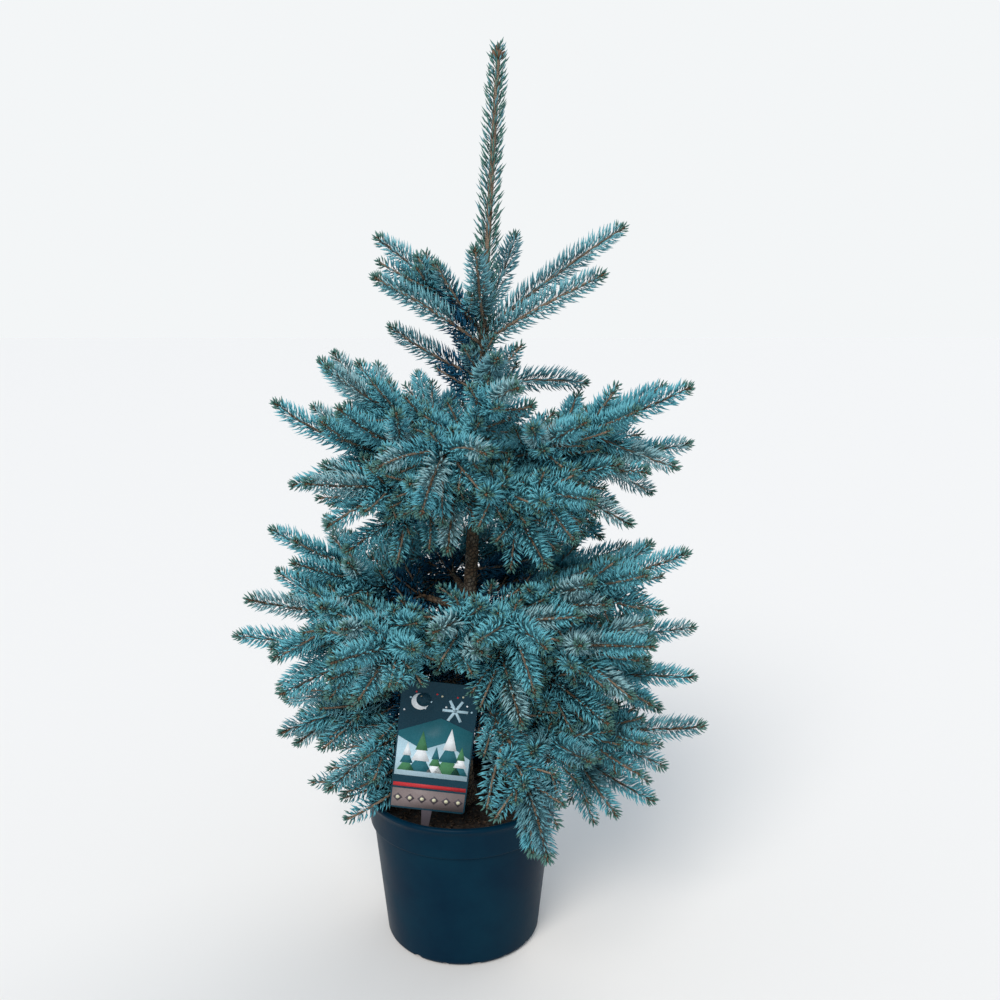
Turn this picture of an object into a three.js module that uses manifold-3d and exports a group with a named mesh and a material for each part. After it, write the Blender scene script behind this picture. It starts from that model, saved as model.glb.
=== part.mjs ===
// A young blue spruce in a nursery pot, a metre tall: pot, soil, picture tag, trunk, boughs and masses
// of needles, each its own mesh. Millimetres, +Z up, origin at the middle of the pot's underside.
// An azimuth of 0 points along +X, to the right, and one of 90 along +Y, away from the front.
import * as THREE from "three";
import { mergeVertices } from "three/addons/utils/BufferGeometryUtils.js";
import Module from "manifold-3d";

const wasm = await Module();
wasm.setup();

const GAP = 0.3; // clear space between pieces that touch in the real plant
const spruce = new THREE.Group();

// ------------------------------------------------------------ materials

const finish = (color, roughness) => new THREE.MeshStandardMaterial({ color, roughness, metalness: 0 });
const POT_PLASTIC = finish(0x06202f, 0.45);
const COMPOST = finish(0x2a211b, 0.95);
const PRINTED_CARD = finish(0x2f6f78, 0.3);
const BARK = finish(0x5b4a3c, 0.9);
const NEEDLES = finish(0x3f727c, 0.6);

// ------------------------------------------------------------ solids

const degrees = THREE.MathUtils.degToRad;
const vector = (x, y, z) => new THREE.Vector3(x, y, z);

const total = (lengths) => lengths.reduce((sum, length) => sum + length, 0);

function pointAlong(line, distance) {
  let left = distance;
  for (let i = 0; i + 1 < line.length; i++) {
    const step = line[i].distanceTo(line[i + 1]);
    if (left <= step || i + 2 === line.length) return line[i].clone().lerp(line[i + 1], left / step);
    left -= step;
  }
  return line[0].clone();
}

const lengthOf = (line) => total(line.slice(1).map((point, i) => point.distanceTo(line[i])));

function distanceToLine(point, line) {
  let least = Infinity;
  for (let i = 0; i + 1 < line.length; i++) {
    const [a, b] = [line[i], line[i + 1]];
    const [x, y, z] = [b.x - a.x, b.y - a.y, b.z - a.z];
    const [u, v, w] = [point.x - a.x, point.y - a.y, point.z - a.z];
    const share = Math.min(1, Math.max(0, (u * x + v * y + w * z) / (x * x + y * y + z * z)));
    least = Math.min(least, Math.hypot(u - share * x, v - share * y, w - share * z));
  }
  return least;
}

function toSolid(points, faces) {
  const vertProperties = new Float32Array(points.flatMap((p) => [p.x, p.y, p.z]));
  const triVerts = new Uint32Array(faces.flat());
  return new wasm.Manifold(new wasm.Mesh({ numProp: 3, vertProperties, triVerts }));
}

// A three.js geometry, moved by a matrix, as a solid. Faces that close up at a pole are left out.
function geometryToSolid(geometry, matrix) {
  const bare = new THREE.BufferGeometry();
  const flat = geometry.index ? geometry.toNonIndexed() : geometry;
  bare.setAttribute("position", flat.getAttribute("position").clone());
  const merged = mergeVertices(bare.applyMatrix4(matrix), 1e-3);
  const position = merged.getAttribute("position");
  const points = Array.from({ length: position.count }, (_, i) => vector().fromBufferAttribute(position, i));
  const faces = [];
  for (let i = 0; i < merged.index.count; i += 3) {
    const [a, b, c] = [0, 1, 2].map((k) => merged.index.getX(i + k));
    if (a !== b && b !== c && c !== a) faces.push([a, b, c]);
  }
  return toSolid(points, faces);
}

function addMesh(name, solid, material) {
  const { vertProperties, triVerts } = solid.getMesh();
  const geometry = new THREE.BufferGeometry();
  geometry.setAttribute("position", new THREE.BufferAttribute(vertProperties, 3));
  geometry.setIndex(new THREE.BufferAttribute(triVerts, 1));
  geometry.computeVertexNormals();
  const mesh = new THREE.Mesh(geometry, material);
  mesh.name = name;
  spruce.add(mesh);
}

const largestBody = (solid) => solid.decompose().reduce((a, b) => (a.volume() > b.volume() ? a : b));

// The direction of a line at its point i, with two directions square to it.
function frameAlong(line, i) {
  const whole = line.at(-1).clone().sub(line[0]).normalize();
  const reference = Math.abs(whole.z) > 0.9 ? vector(0, -1, 0) : vector(0, 0, 1);
  const along = line[Math.min(i + 1, line.length - 1)].clone().sub(line[Math.max(i - 1, 0)]).normalize();
  const side = reference.cross(along).normalize();
  return { along, side, up: along.clone().cross(side) };
}

// The corners of ring i of a line: `corners` of them, turned by `turn` radians.
function ringAt(line, i, corners, turn, radiusAt) {
  const { side, up } = frameAlong(line, i);
  return Array.from({ length: corners }, (_, j) => {
    const angle = turn + (2 * Math.PI * j) / corners;
    const radius = radiusAt(i, angle);
    const corner = line[i].clone().addScaledVector(side, radius * Math.cos(angle));
    return corner.addScaledVector(up, radius * Math.sin(angle));
  });
}

// A closed tube along a line, flat at both ends.
function sweep(line, corners, radiusAt) {
  const points = line.flatMap((_, i) => ringAt(line, i, corners, 0, radiusAt));
  const faces = [];
  for (let i = 0; i + 1 < line.length; i++) {
    for (let j = 0; j < corners; j++) {
      const [a, b] = [i * corners + j, i * corners + ((j + 1) % corners)];
      faces.push([a, b, b + corners], [a, b + corners, a + corners]);
    }
  }
  const last = (line.length - 1) * corners;
  for (let j = 1; j + 1 < corners; j++) faces.push([0, j + 1, j], [last, last + j, last + j + 1]);
  return toSolid(points, faces);
}

// ------------------------------------------------------------ pot and soil

// A five-litre nursery pot: a tapered wall, a wider band under a rolled rim, and drainage slots
// round its foot. The soil fills it to just under the band's top.
const POT_HEIGHT = 178;
const RIM_RADIUS = 112;
const BAND_RADIUS = 109;
const SHOULDER_RADIUS = 105;
const FOOT_RADIUS = 90;
const FOOT_ROUND = 7;
const BAND_BOTTOM = 143;
const WALL = 2.2;
const FLOOR = 3;
const LIP = 3.2; // height and reach of the rolled rim
const SOIL_TOP = 160;
const ROUND_SIDES = 32;
const SLOTS = 8;
const SLOT_RADIUS = 8;
const SLOT_DEPTH = 10;
const SLOT_SIDES = 6;
const SOIL_MOUND = 35; // radius of the level top of the soil
const SOIL_EDGE = 60; // radius where it starts to fall away to the wall

function arc(x, y, radius, from, to, steps) {
  return Array.from({ length: steps + 1 }, (_, i) => {
    const angle = degrees(from + ((to - from) * i) / steps);
    return new THREE.Vector2(x + radius * Math.cos(angle), y + radius * Math.sin(angle));
  });
}

// Turned about +Z from an outline of (radius, height) that runs up the outside.
function lathe(outline) {
  const turned = new THREE.LatheGeometry(outline, ROUND_SIDES);
  return geometryToSolid(turned, new THREE.Matrix4().makeRotationX(Math.PI / 2));
}

const profile = (radius, height) => new THREE.Vector2(radius, height);
const potShell = lathe([
  profile(0, 0),
  ...arc(FOOT_RADIUS - FOOT_ROUND, FOOT_ROUND, FOOT_ROUND, -90, 0, 3),
  profile(SHOULDER_RADIUS, BAND_BOTTOM),
  profile(BAND_RADIUS, BAND_BOTTOM + 3),
  profile(RIM_RADIUS - LIP, POT_HEIGHT - 2 * LIP),
  ...arc(RIM_RADIUS - LIP, POT_HEIGHT - LIP, LIP, -60, 90, 3),
  profile(RIM_RADIUS - LIP - WALL, POT_HEIGHT),
  profile(BAND_RADIUS - WALL, BAND_BOTTOM + 3),
  profile(SHOULDER_RADIUS - WALL, BAND_BOTTOM),
  profile(FOOT_RADIUS - WALL, FLOOR + FOOT_ROUND),
  profile(FOOT_RADIUS - FOOT_ROUND, FLOOR),
  profile(0, FLOOR),
]);

// Each slot is a short level bore that takes the bottom corner of the wall away.
function drainSlot(index) {
  const bore = new THREE.CylinderGeometry(SLOT_RADIUS, SLOT_RADIUS, SLOT_DEPTH, SLOT_SIDES);
  const out = new THREE.Matrix4().makeTranslation(FOOT_RADIUS + 1, 0, 1);
  const level = new THREE.Matrix4().makeRotationZ(Math.PI / 2);
  const round = new THREE.Matrix4().makeRotationZ((2 * Math.PI * (index + 0.5)) / SLOTS);
  return geometryToSolid(bore, round.multiply(out).multiply(level));
}

const slots = Array.from({ length: SLOTS }, (_, index) => drainSlot(index));
addMesh("pot", potShell.subtract(wasm.Manifold.union(slots)), POT_PLASTIC);

const SOIL_SLOPE = (SHOULDER_RADIUS - FOOT_RADIUS) / (BAND_BOTTOM - FOOT_ROUND);
const soilRadius = (height) => FOOT_RADIUS - WALL - 1 + (height - FLOOR - FOOT_ROUND) * SOIL_SLOPE;
const soilFill = lathe([
  profile(0, FLOOR + GAP),
  profile(FOOT_RADIUS - FOOT_ROUND - 1, FLOOR + GAP),
  profile(soilRadius(FLOOR + FOOT_ROUND), FLOOR + FOOT_ROUND + GAP),
  profile(soilRadius(BAND_BOTTOM), BAND_BOTTOM),
  profile(soilRadius(BAND_BOTTOM) - 2, SOIL_TOP - 4),
  profile(SOIL_EDGE, SOIL_TOP - 1),
  profile(SOIL_MOUND, SOIL_TOP),
  profile(0, SOIL_TOP),
]);

// ------------------------------------------------------------ picture tag

// A printed card on a stake, pushed into the soil inside the front of the rim. Its own frame has +X
// across the card, +Z up it and the origin at the middle of the card's lower edge.
const TAG_WIDTH = 82;
const TAG_HEIGHT = 152;
const TAG_THICKNESS = 1;
const TAG_CORNER = 4;
const STAKE_WIDTH = 12;
const STAKE_DEPTH = 72;
const TAG_ROLL = 7; // degrees clockwise
const TAG_LEAN = 4; // degrees towards the front
const TAG_PLACE = vector(-36, -86, 188);
const tagFrame = new THREE.Matrix4()
  .makeTranslation(TAG_PLACE)
  .multiply(new THREE.Matrix4().makeRotationX(degrees(TAG_LEAN)))
  .multiply(new THREE.Matrix4().makeRotationY(degrees(TAG_ROLL)));
const intoTag = tagFrame.clone().invert();

// The outline of the card, its stake included, grown by `more` all round.
function tagOutline(more) {
  const half = TAG_WIDTH / 2 + more;
  const stake = STAKE_WIDTH / 2 + more;
  const round = TAG_CORNER + more;
  const outline = new THREE.Shape();
  outline.moveTo(stake, -more);
  outline.absarc(half - round, round - more, round, degrees(-90), 0, false);
  outline.absarc(half - round, TAG_HEIGHT + more - round, round, 0, degrees(90), false);
  outline.absarc(round - half, TAG_HEIGHT + more - round, round, degrees(90), degrees(180), false);
  outline.absarc(round - half, round - more, round, degrees(180), degrees(270), false);
  outline.lineTo(-stake, -more);
  outline.lineTo(-stake, -STAKE_DEPTH + stake);
  outline.lineTo(0, -STAKE_DEPTH - more);
  outline.lineTo(stake, -STAKE_DEPTH + stake);
  return outline;
}

function tagSolid(more) {
  const depth = TAG_THICKNESS + 2 * more;
  const card = new THREE.ExtrudeGeometry(tagOutline(more), { depth, bevelEnabled: false, curveSegments: 4 });
  const upright = new THREE.Matrix4().makeRotationX(Math.PI / 2);
  const centred = new THREE.Matrix4().makeTranslation(0, depth / 2, 0);
  return geometryToSolid(card, tagFrame.clone().multiply(centred).multiply(upright));
}

addMesh("picture_tag", tagSolid(0), PRINTED_CARD);
addMesh("soil", soilFill.subtract(tagSolid(GAP)), COMPOST);

// ------------------------------------------------------------ trunk

// The trunk leans a little to the right, more so towards its tip, and spreads in a root flare.
const TREE_TOP = 994;
const TRUNK_LEAN = 43; // sideways shift of the tip
const TRUNK_STEP = 34;
const TRUNK_SIDES = 10;
const FLARE = 8;
const FLARE_FADE = 16; // height over which the flare falls to a third
const ROOTS = 5;
const ROOT_BULGE = 0.35;
const LEADER_FOOT = 706; // the top year's growth starts here

const trunkHeight = TREE_TOP - SOIL_TOP;
function trunkCentre(height) {
  const share = Math.max(0, (height - SOIL_TOP) / trunkHeight);
  return vector(TRUNK_LEAN * share ** 1.2, 0, height);
}

// The old wood and the leader taper by straight lines, and the tip closes in a bud.
const SOIL_RADIUS = 10.6;
const OLD_WOOD_TOP = 4;
const LEADER_ROOT = 3.5;
const LEADER_END = 2.5;
const BUD_TIP = 0.5;
const BUD_FOOT = TREE_TOP - 16;
function trunkRadius(height) {
  const { lerp, inverseLerp } = THREE.MathUtils;
  if (height > BUD_FOOT) return lerp(LEADER_END, BUD_TIP, inverseLerp(BUD_FOOT, TREE_TOP, height));
  if (height > LEADER_FOOT) return lerp(LEADER_ROOT, LEADER_END, inverseLerp(LEADER_FOOT, BUD_FOOT, height));
  return lerp(SOIL_RADIUS, OLD_WOOD_TOP, inverseLerp(SOIL_TOP, LEADER_FOOT, height));
}

// The flare fades out up the trunk, and the roots bulge in it.
function flareAt(height, angle) {
  const fade = Math.exp(-(height - SOIL_TOP) / FLARE_FADE);
  return FLARE * fade * (1 + ROOT_BULGE * Math.cos(ROOTS * angle));
}

const trunkLevels = [-5, 2, 9, 18, 32].map((above) => SOIL_TOP + above);
for (let z = trunkLevels.at(-1) + TRUNK_STEP; z < BUD_FOOT - 5; z += TRUNK_STEP) trunkLevels.push(z);
trunkLevels.push(BUD_FOOT, TREE_TOP);
function trunkSolid(more) {
  const line = trunkLevels.map(trunkCentre);
  const wood = sweep(line, TRUNK_SIDES, (i, angle) => {
    return trunkRadius(trunkLevels[i]) + flareAt(trunkLevels[i], angle) + more;
  });
  return wood.trimByPlane([0, 0, 1], SOIL_TOP + GAP);
}
addMesh("trunk", trunkSolid(0), BARK);

// ------------------------------------------------------------ how the boughs grow

// One row per bough, from the top down. `rise` is its angle above level where it leaves the trunk
// and `bend` the change of that angle over its whole length. `limb` is its bare length, and `years`
// holds the lengths that it then grew year by year. `lift` raises its side shoots. A bough with no
// bare limb is clothed in needles from the trunk on.
const BOUGHS = [
  { name: "top_1", height: 700, azimuth: 9, rise: 40, bend: -8, limb: 0, years: [190], lift: 0 },
  { name: "top_2", height: 690, azimuth: -24, rise: 31, bend: -8, limb: 0, years: [152], lift: 0 },
  { name: "top_3", height: 698, azimuth: 175, rise: 48, bend: -12, limb: 0, years: [70, 82], lift: 4 },
  { name: "top_4", height: 687, azimuth: 205, rise: 35, bend: -10, limb: 0, years: [138], lift: 0 },
  { name: "top_5", height: 720, azimuth: 58, rise: 46, bend: 14, limb: 0, years: [108], lift: 0 },
  { name: "top_6", height: 709, azimuth: 265, rise: 38, bend: 14, limb: 0, years: [105], lift: 0 },
  { name: "upper_1", height: 652, azimuth: 180, rise: 22, bend: 14, limb: 0, years: [110], lift: 0 },
  { name: "upper_2", height: 640, azimuth: 12, rise: 14, bend: -24, limb: 0, years: [120], lift: 0 },
  { name: "upper_3", height: 648, azimuth: 280, rise: 8, bend: 14, limb: 0, years: [112], lift: 0 },
  { name: "upper_4", height: 646, azimuth: 100, rise: 16, bend: 16, limb: 0, years: [128], lift: 0 },
  { name: "middle_1", height: 572, azimuth: 188, rise: -12, bend: 52, limb: 0, years: [44, 66, 120], lift: 8 },
  { name: "middle_2", height: 588, azimuth: 156, rise: -2, bend: 46, limb: 0, years: [44, 62, 116], lift: 8 },
  { name: "middle_3", height: 576, azimuth: 256, rise: 24, bend: -70, limb: 0, years: [44, 76, 92], lift: 32 },
  { name: "middle_4", height: 545, azimuth: 304, rise: -4, bend: 10, limb: 0, years: [50, 66, 90], lift: 8 },
  { name: "middle_5", height: 557, azimuth: 343, rise: 15, bend: 12, limb: 0, years: [44, 84, 120], lift: -4 },
  { name: "middle_6", height: 572, azimuth: 12, rise: -9, bend: 18, limb: 0, years: [44, 84, 122], lift: 4 },
  { name: "middle_7", height: 566, azimuth: 62, rise: -12, bend: 24, limb: 0, years: [44, 70, 116], lift: 8 },
  { name: "middle_8", height: 540, azimuth: 216, rise: -2, bend: 12, limb: 0, years: [50, 62, 92], lift: 6 },
  { name: "middle_9", height: 576, azimuth: 118, rise: -8, bend: 32, limb: 0, years: [44, 66, 104], lift: 8 },
  { name: "broad_1", height: 388, azimuth: 170, rise: 14, bend: 12, limb: 50, years: [10, 78, 110], lift: 4 },
  { name: "broad_2", height: 374, azimuth: 205, rise: 8, bend: 10, limb: 50, years: [10, 80, 112], lift: 4 },
  { name: "broad_3", height: 392, azimuth: 290, rise: 14, bend: -16, limb: 50, years: [10, 76, 90], lift: 8 },
  { name: "broad_4", height: 384, azimuth: 342, rise: 15, bend: 10, limb: 50, years: [10, 80, 118], lift: 2 },
  { name: "broad_5", height: 392, azimuth: 50, rise: 12, bend: 16, limb: 50, years: [10, 78, 110], lift: 4 },
  { name: "broad_6", height: 403, azimuth: 112, rise: 12, bend: 16, limb: 50, years: [10, 78, 112], lift: 4 },
  { name: "broad_7", height: 344, azimuth: 186, rise: 2, bend: 6, limb: 50, years: [10, 84, 114], lift: 4 },
  { name: "broad_8", height: 356, azimuth: 242, rise: 16, bend: -10, limb: 50, years: [10, 94, 100], lift: 8 },
  { name: "broad_9", height: 346, azimuth: 320, rise: 14, bend: -4, limb: 50, years: [10, 82, 106], lift: 4 },
  { name: "broad_10", height: 336, azimuth: 0, rise: 6, bend: 2, limb: 50, years: [10, 86, 112], lift: 2 },
  { name: "low_1", height: 304, azimuth: 192, rise: -4, bend: -16, limb: 50, years: [10, 66, 88], lift: 2 },
  { name: "low_2", height: 287, azimuth: 158, rise: -4, bend: -12, limb: 50, years: [10, 80, 108], lift: 2 },
  { name: "low_3", height: 290, azimuth: 290, rise: 18, bend: -70, limb: 50, years: [10, 134, 80], lift: 6 },
  { name: "low_4", height: 308, azimuth: 352, rise: 6, bend: -6, limb: 50, years: [10, 88, 108], lift: 2 },
  { name: "low_5", height: 292, azimuth: 56, rise: -2, bend: -12, limb: 50, years: [10, 84, 112], lift: 2 },
  { name: "low_6", height: 282, azimuth: 219, rise: -4, bend: -26, limb: 50, years: [10, 56, 74], lift: 2 },
  { name: "low_7", height: 282, azimuth: 343, rise: -14, bend: 28, limb: 50, years: [10, 96, 116], lift: 2 },
  { name: "low_8", height: 304, azimuth: 106, rise: -2, bend: -14, limb: 50, years: [10, 84, 110], lift: 2 },
];

const STEP = 12; // spacing of the points that a twig is walked in
const SHORTEST = 68; // side shoots with a last year shorter than this are left out
const SIDE_SHARE = 0.78; // a side shoot's length against the shoot that it branches from
const SPLAY = 44; // degrees between a side shoot and its parent
const TILT_SPREAD = 16; // degrees over which side shoots tilt up or down at random
const FALL = -40; // degrees by which the third shoot of a knot on the main stem drops
const LOW_FALL = -24; // the same on the lowest boughs
const LOW_WHORL = 310; // height under which a bough is one of the lowest
const KNOT = 25; // length at a twig's foot that may lie close to its own mass
const MASS_CLEAR = 9.5; // least distance between the middles of two masses' twigs
const TWIG_CLEAR = 6; // the same inside one mass
const LIMB_CLEAR = 10; // the same from a bare limb
const POT_CLEAR = 6;
const TAG_CLEAR = 9;
const LOWEST = 40; // no shoot hangs below this height
const ROOT_RADII = [4.2, 3.8, 3.4]; // of a twig's core, by its order of branching
const TIP_RADIUS = 2.4;
const LIMB_ROOT = 4.6;
const LIMB_TIP = 3.4;
const LIMB_STEPS = 3;
const LIMB_SIDES = 5;

function seededRandom(seed) {
  let state = Math.imul(seed, 2654435761) >>> 0;
  return () => {
    state = (Math.imul(state, 1664525) + 1013904223) >>> 0;
    return state / 2 ** 32;
  };
}

function heading(azimuth, rise) {
  const level = Math.cos(degrees(rise));
  return vector(Math.cos(degrees(azimuth)) * level, Math.sin(degrees(azimuth)) * level, Math.sin(degrees(rise)));
}

const limbs = []; // { bough, line }
const twigs = []; // { bough, order, line, years, seed }

// True if the point lies in, or too close to, anything but the twig's own mass.
function isBlocked(point, bough, walked, fromTrunk) {
  const spread = Math.hypot(point.x, point.y);
  if (point.z < LOWEST) return true;
  if (point.z < POT_HEIGHT + POT_CLEAR && spread < RIM_RADIUS + POT_CLEAR) return true;
  const onTag = point.clone().applyMatrix4(intoTag);
  const besideTag = Math.abs(onTag.x) < TAG_WIDTH / 2 + TAG_CLEAR && onTag.z < TAG_HEIGHT + TAG_CLEAR;
  if (besideTag && Math.abs(onTag.y) < TAG_CLEAR) return true;
  if (!fromTrunk || walked > KNOT) {
    const centre = trunkCentre(point.z);
    if (Math.hypot(point.x - centre.x, point.y) < trunkRadius(point.z) + LIMB_CLEAR / 2) return true;
  }
  for (const limb of limbs) {
    if (limb.bough === bough && walked < KNOT) continue;
    if (distanceToLine(point, limb.line) < LIMB_CLEAR) return true;
  }
  for (const twig of twigs) {
    const own = twig.bough === bough;
    if (own && walked < KNOT) continue;
    const clear = own ? TWIG_CLEAR : MASS_CLEAR;
    if (distanceToLine(point, twig.line) < clear) return true;
  }
  return false;
}

// Walks one twig until it is as long as its years or meets something. Each finished year ends in a
// knot, from which side shoots are to grow: two level ones, and on a main stem a hanging one.
function walkTwig({ bough, order, start, azimuth, rise, bend, years, lift, seed }) {
  const random = seededRandom(seed);
  const length = total(years);
  const fall = bough.height < LOW_WHORL ? LOW_FALL : FALL;
  const line = [start];
  const shoots = [];
  let gone = 0;
  for (const [index, year] of years.entries()) {
    const steps = Math.max(1, Math.round(year / STEP));
    for (let k = 0; k < steps; k++) {
      const here = rise + (bend * (gone + (year * (k + 0.5)) / steps)) / length;
      const next = line.at(-1).clone().addScaledVector(heading(azimuth, here), year / steps);
      const walked = gone + (year * (k + 1)) / steps;
      if (isBlocked(next, bough, walked, order === 0 && bough.limb === 0)) {
        return { line, shoots, walked };
      }
      line.push(next);
    }
    gone += year;
    const rest = years.slice(index + 1);
    if (rest.length === 0) break;
    const here = rise + (bend * gone) / length;
    for (const turn of order === 0 ? [1, -1, 0] : [1, -1]) {
      const share = SIDE_SHARE * (0.88 + 0.24 * random());
      const angle = SPLAY * (0.85 + 0.3 * random());
      const tilt = lift + TILT_SPREAD * (random() - 0.5);
      shoots.push({
        bough,
        order: order + 1,
        start: line.at(-1),
        azimuth: azimuth + (turn === 0 ? angle - SPLAY : turn * angle),
        rise: here + (turn === 0 ? fall + tilt - lift : tilt),
        bend: bend / 2,
        years: rest.map((next) => next * share),
        lift: lift / 2,
        seed: seed * 8 + index * 3 + turn + 2,
      });
    }
  }
  return { line, shoots, walked: gone };
}

// Every bough's main stem grows first, then all their side shoots, then the side shoots' own.
function growAll() {
  const waiting = [];
  for (const [index, bough] of BOUGHS.entries()) {
    const { azimuth, rise, bend, limb, years, lift } = bough;
    const whole = limb + total(years);
    const foot = trunkCentre(bough.height);
    let start = foot;
    if (limb > 0) {
      const tip = foot.clone();
      const line = [foot];
      for (let k = 0; k < LIMB_STEPS; k++) {
        const here = rise + (bend * limb * (k + 0.5)) / LIMB_STEPS / whole;
        tip.addScaledVector(heading(azimuth, here), limb / LIMB_STEPS);
        line.push(tip.clone());
      }
      limbs.push({ bough, line });
      start = tip.clone().addScaledVector(heading(azimuth, rise + (bend * limb) / whole), GAP);
    }
    const bendLeft = (bend * (whole - limb)) / whole;
    const riseLeft = rise + (bend * limb) / whole;
    const seed = index + 11;
    waiting.push({ bough, order: 0, start, azimuth, rise: riseLeft, bend: bendLeft, years, lift, seed });
  }
  while (waiting.length > 0) {
    const plan = waiting.shift();
    if (plan.years.at(-1) < SHORTEST) continue;
    const { line, shoots, walked } = walkTwig(plan);
    if (walked < SHORTEST) continue;
    twigs.push({ bough: plan.bough, order: plan.order, line, years: plan.years, seed: plan.seed });
    waiting.push(...shoots);
  }
}
growAll();

// ------------------------------------------------------------ limbs

const trunkCutter = trunkSolid(GAP);
for (const { bough, line } of limbs) {
  const limb = sweep(line, LIMB_SIDES, (i) => LIMB_ROOT + ((LIMB_TIP - LIMB_ROOT) * i) / (line.length - 1));
  addMesh(bough.name.replace("_", "_bough_"), largestBody(limb.subtract(trunkCutter)), BARK);
}

// ------------------------------------------------------------ needles

// A twig is a slim core of three-cornered rings, each turned against the last, and every face of the
// core is drawn out to a point: one spray of needles. A spray keeps to the space nearer its own twig
// than any other, so it is shortened, or left flat, where another twig, a limb or the trunk is close.
const NEEDLE = 23;
const PITCH = 35; // spacing of the rings
const NEEDLE_LEAN = 36; // degrees that a needle leans towards the twig's tip
const BARE_FOOT = 14; // length at a twig's foot that has no needles
const SHADED_HEIGHT = 470; // below this the inside of the crown is too dark for needles
const SHADED_REACH = 84; // from the trunk
const SPRAY_SIZES = [1, 0.72, 0.45];
const SPACE_MARGIN = 1.2; // extra distance kept from another mass
const TWIG_MARGIN = 1.5; // and from a twig of its own mass
const NEEDLE_CLEAR = 1.5; // distance kept from wood, pot and tag

function isClear(point, twig, neighbours) {
  const spread = Math.hypot(point.x, point.y);
  if (point.z < POT_HEIGHT + NEEDLE_CLEAR && spread < RIM_RADIUS + NEEDLE_CLEAR) return false;
  const onTag = point.clone().applyMatrix4(intoTag);
  const edge = TAG_WIDTH / 2 + NEEDLE_CLEAR;
  const besideTag = Math.abs(onTag.x) < edge && onTag.z < TAG_HEIGHT + NEEDLE_CLEAR;
  if (besideTag && Math.abs(onTag.y - TAG_THICKNESS / 2) < NEEDLE_CLEAR) return false;
  const centre = trunkCentre(point.z);
  if (Math.hypot(point.x - centre.x, point.y) < trunkRadius(point.z) + NEEDLE_CLEAR) return false;
  if (limbs.some((limb) => distanceToLine(point, limb.line) < LIMB_ROOT + NEEDLE_CLEAR)) return false;
  const own = distanceToLine(point, twig.line);
  return neighbours.every((other) => {
    const margin = other.bough === twig.bough ? TWIG_MARGIN : SPACE_MARGIN;
    return distanceToLine(point, other.line) > own + margin;
  });
}

// Samples up the three edges of a spray, from its corners to its point.
function hasRoom(corners, peak, twig, neighbours) {
  if (!isClear(peak, twig, neighbours)) return false;
  const shares = [0.15, 0.4, 0.7];
  const samples = corners.flatMap((corner) => shares.map((share) => corner.clone().lerp(peak, share)));
  return samples.every((sample) => isClear(sample, twig, neighbours));
}

// The core's rings, from a twig's foot to just short of its tip, and the faces between them.
function coreOf(line, corners, radiusAt) {
  const rings = line.length - 1;
  const points = line.slice(0, rings).flatMap((_, i) => {
    return ringAt(line, i, corners, (Math.PI * i) / corners, radiusAt);
  });
  const tip = points.push(line.at(-1)) - 1;
  const sides = [];
  for (let i = 0; i < rings; i++) {
    for (let j = 0; j < corners; j++) {
      const [a, b] = [i * corners + j, i * corners + ((j + 1) % corners)];
      if (i + 1 === rings) sides.push([a, b, tip]);
      else sides.push([a, b, a + corners], [b, b + corners, a + corners]);
    }
  }
  return { points, sides };
}

function spraySolid(twig, { corners, radiusAt, lean, pitch, bareFoot }) {
  const length = lengthOf(twig.line);
  const rings = Math.max(2, Math.round(length / pitch));
  const line = Array.from({ length: rings + 1 }, (_, i) => pointAlong(twig.line, (length * i) / rings));
  const { points, sides } = coreOf(line, corners, radiusAt);
  const middle = pointAlong(twig.line, length / 2);
  const reach = length / 2 + 3 * NEEDLE;
  const neighbours = twigs.filter((other) => other !== twig && distanceToLine(middle, other.line) < reach);
  const random = seededRandom(twig.seed + 5000);
  const faces = [];
  for (let j = 1; j + 1 < corners; j++) faces.push([0, j + 1, j]);
  for (const side of sides) {
    const [a, b, c] = side.map((index) => points[index]);
    const heart = a.clone().add(b).add(c).divideScalar(3);
    const { along } = frameAlong(line, Math.floor(side[0] / corners));
    const out = b.clone().sub(a).cross(c.clone().sub(a));
    out.addScaledVector(along, -out.dot(along)).normalize();
    const reachOut = out.multiplyScalar(Math.cos(degrees(lean)));
    const toPeak = reachOut.addScaledVector(along, Math.sin(degrees(lean)));
    const size = NEEDLE * (0.86 + 0.2 * random());
    const peaks = SPRAY_SIZES.map((share) => heart.clone().addScaledVector(toPeak, size * share));
    const isShaded = heart.z < SHADED_HEIGHT && Math.hypot(heart.x, heart.y) < SHADED_REACH;
    const isBare = isShaded || heart.distanceTo(line[0]) < bareFoot;
    const peak = isBare ? undefined : peaks.find((to) => hasRoom([a, b, c], to, twig, neighbours));
    if (peak) {
      const top = points.push(peak) - 1;
      faces.push([side[0], side[1], top], [side[1], side[2], top], [side[2], side[0], top]);
    } else {
      faces.push(side);
    }
  }
  return toSolid(points, faces);
}

// The needles of the top year's growth stand close round the trunk's tip, as one sleeve clear of it.
const SLEEVE_FOOT = LEADER_FOOT + 30;
const SLEEVE_TOP = TREE_TOP + 9;
const SLEEVE_PITCH = 28;
const SLEEVE_WALL = 0.8;
const SLEEVE_SIDES = 5;
const CORNER_REACH = 1.24; // a five-cornered ring's corners against the middles of its sides
const SLEEVE_POINTS = 12; // steps in the line that the sleeve's twig is measured by
const LEADER_LEAN = 58;
const sleeveRings = Math.round((SLEEVE_TOP - SLEEVE_FOOT) / SLEEVE_PITCH);
const sleeveHeight = (share) => SLEEVE_FOOT + (SLEEVE_TOP - SLEEVE_FOOT) * share;
const leader = {
  bough: { name: "leader" },
  line: Array.from({ length: SLEEVE_POINTS + 1 }, (_, i) => trunkCentre(sleeveHeight(i / SLEEVE_POINTS))),
  seed: 7,
};
twigs.push(leader);
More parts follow.
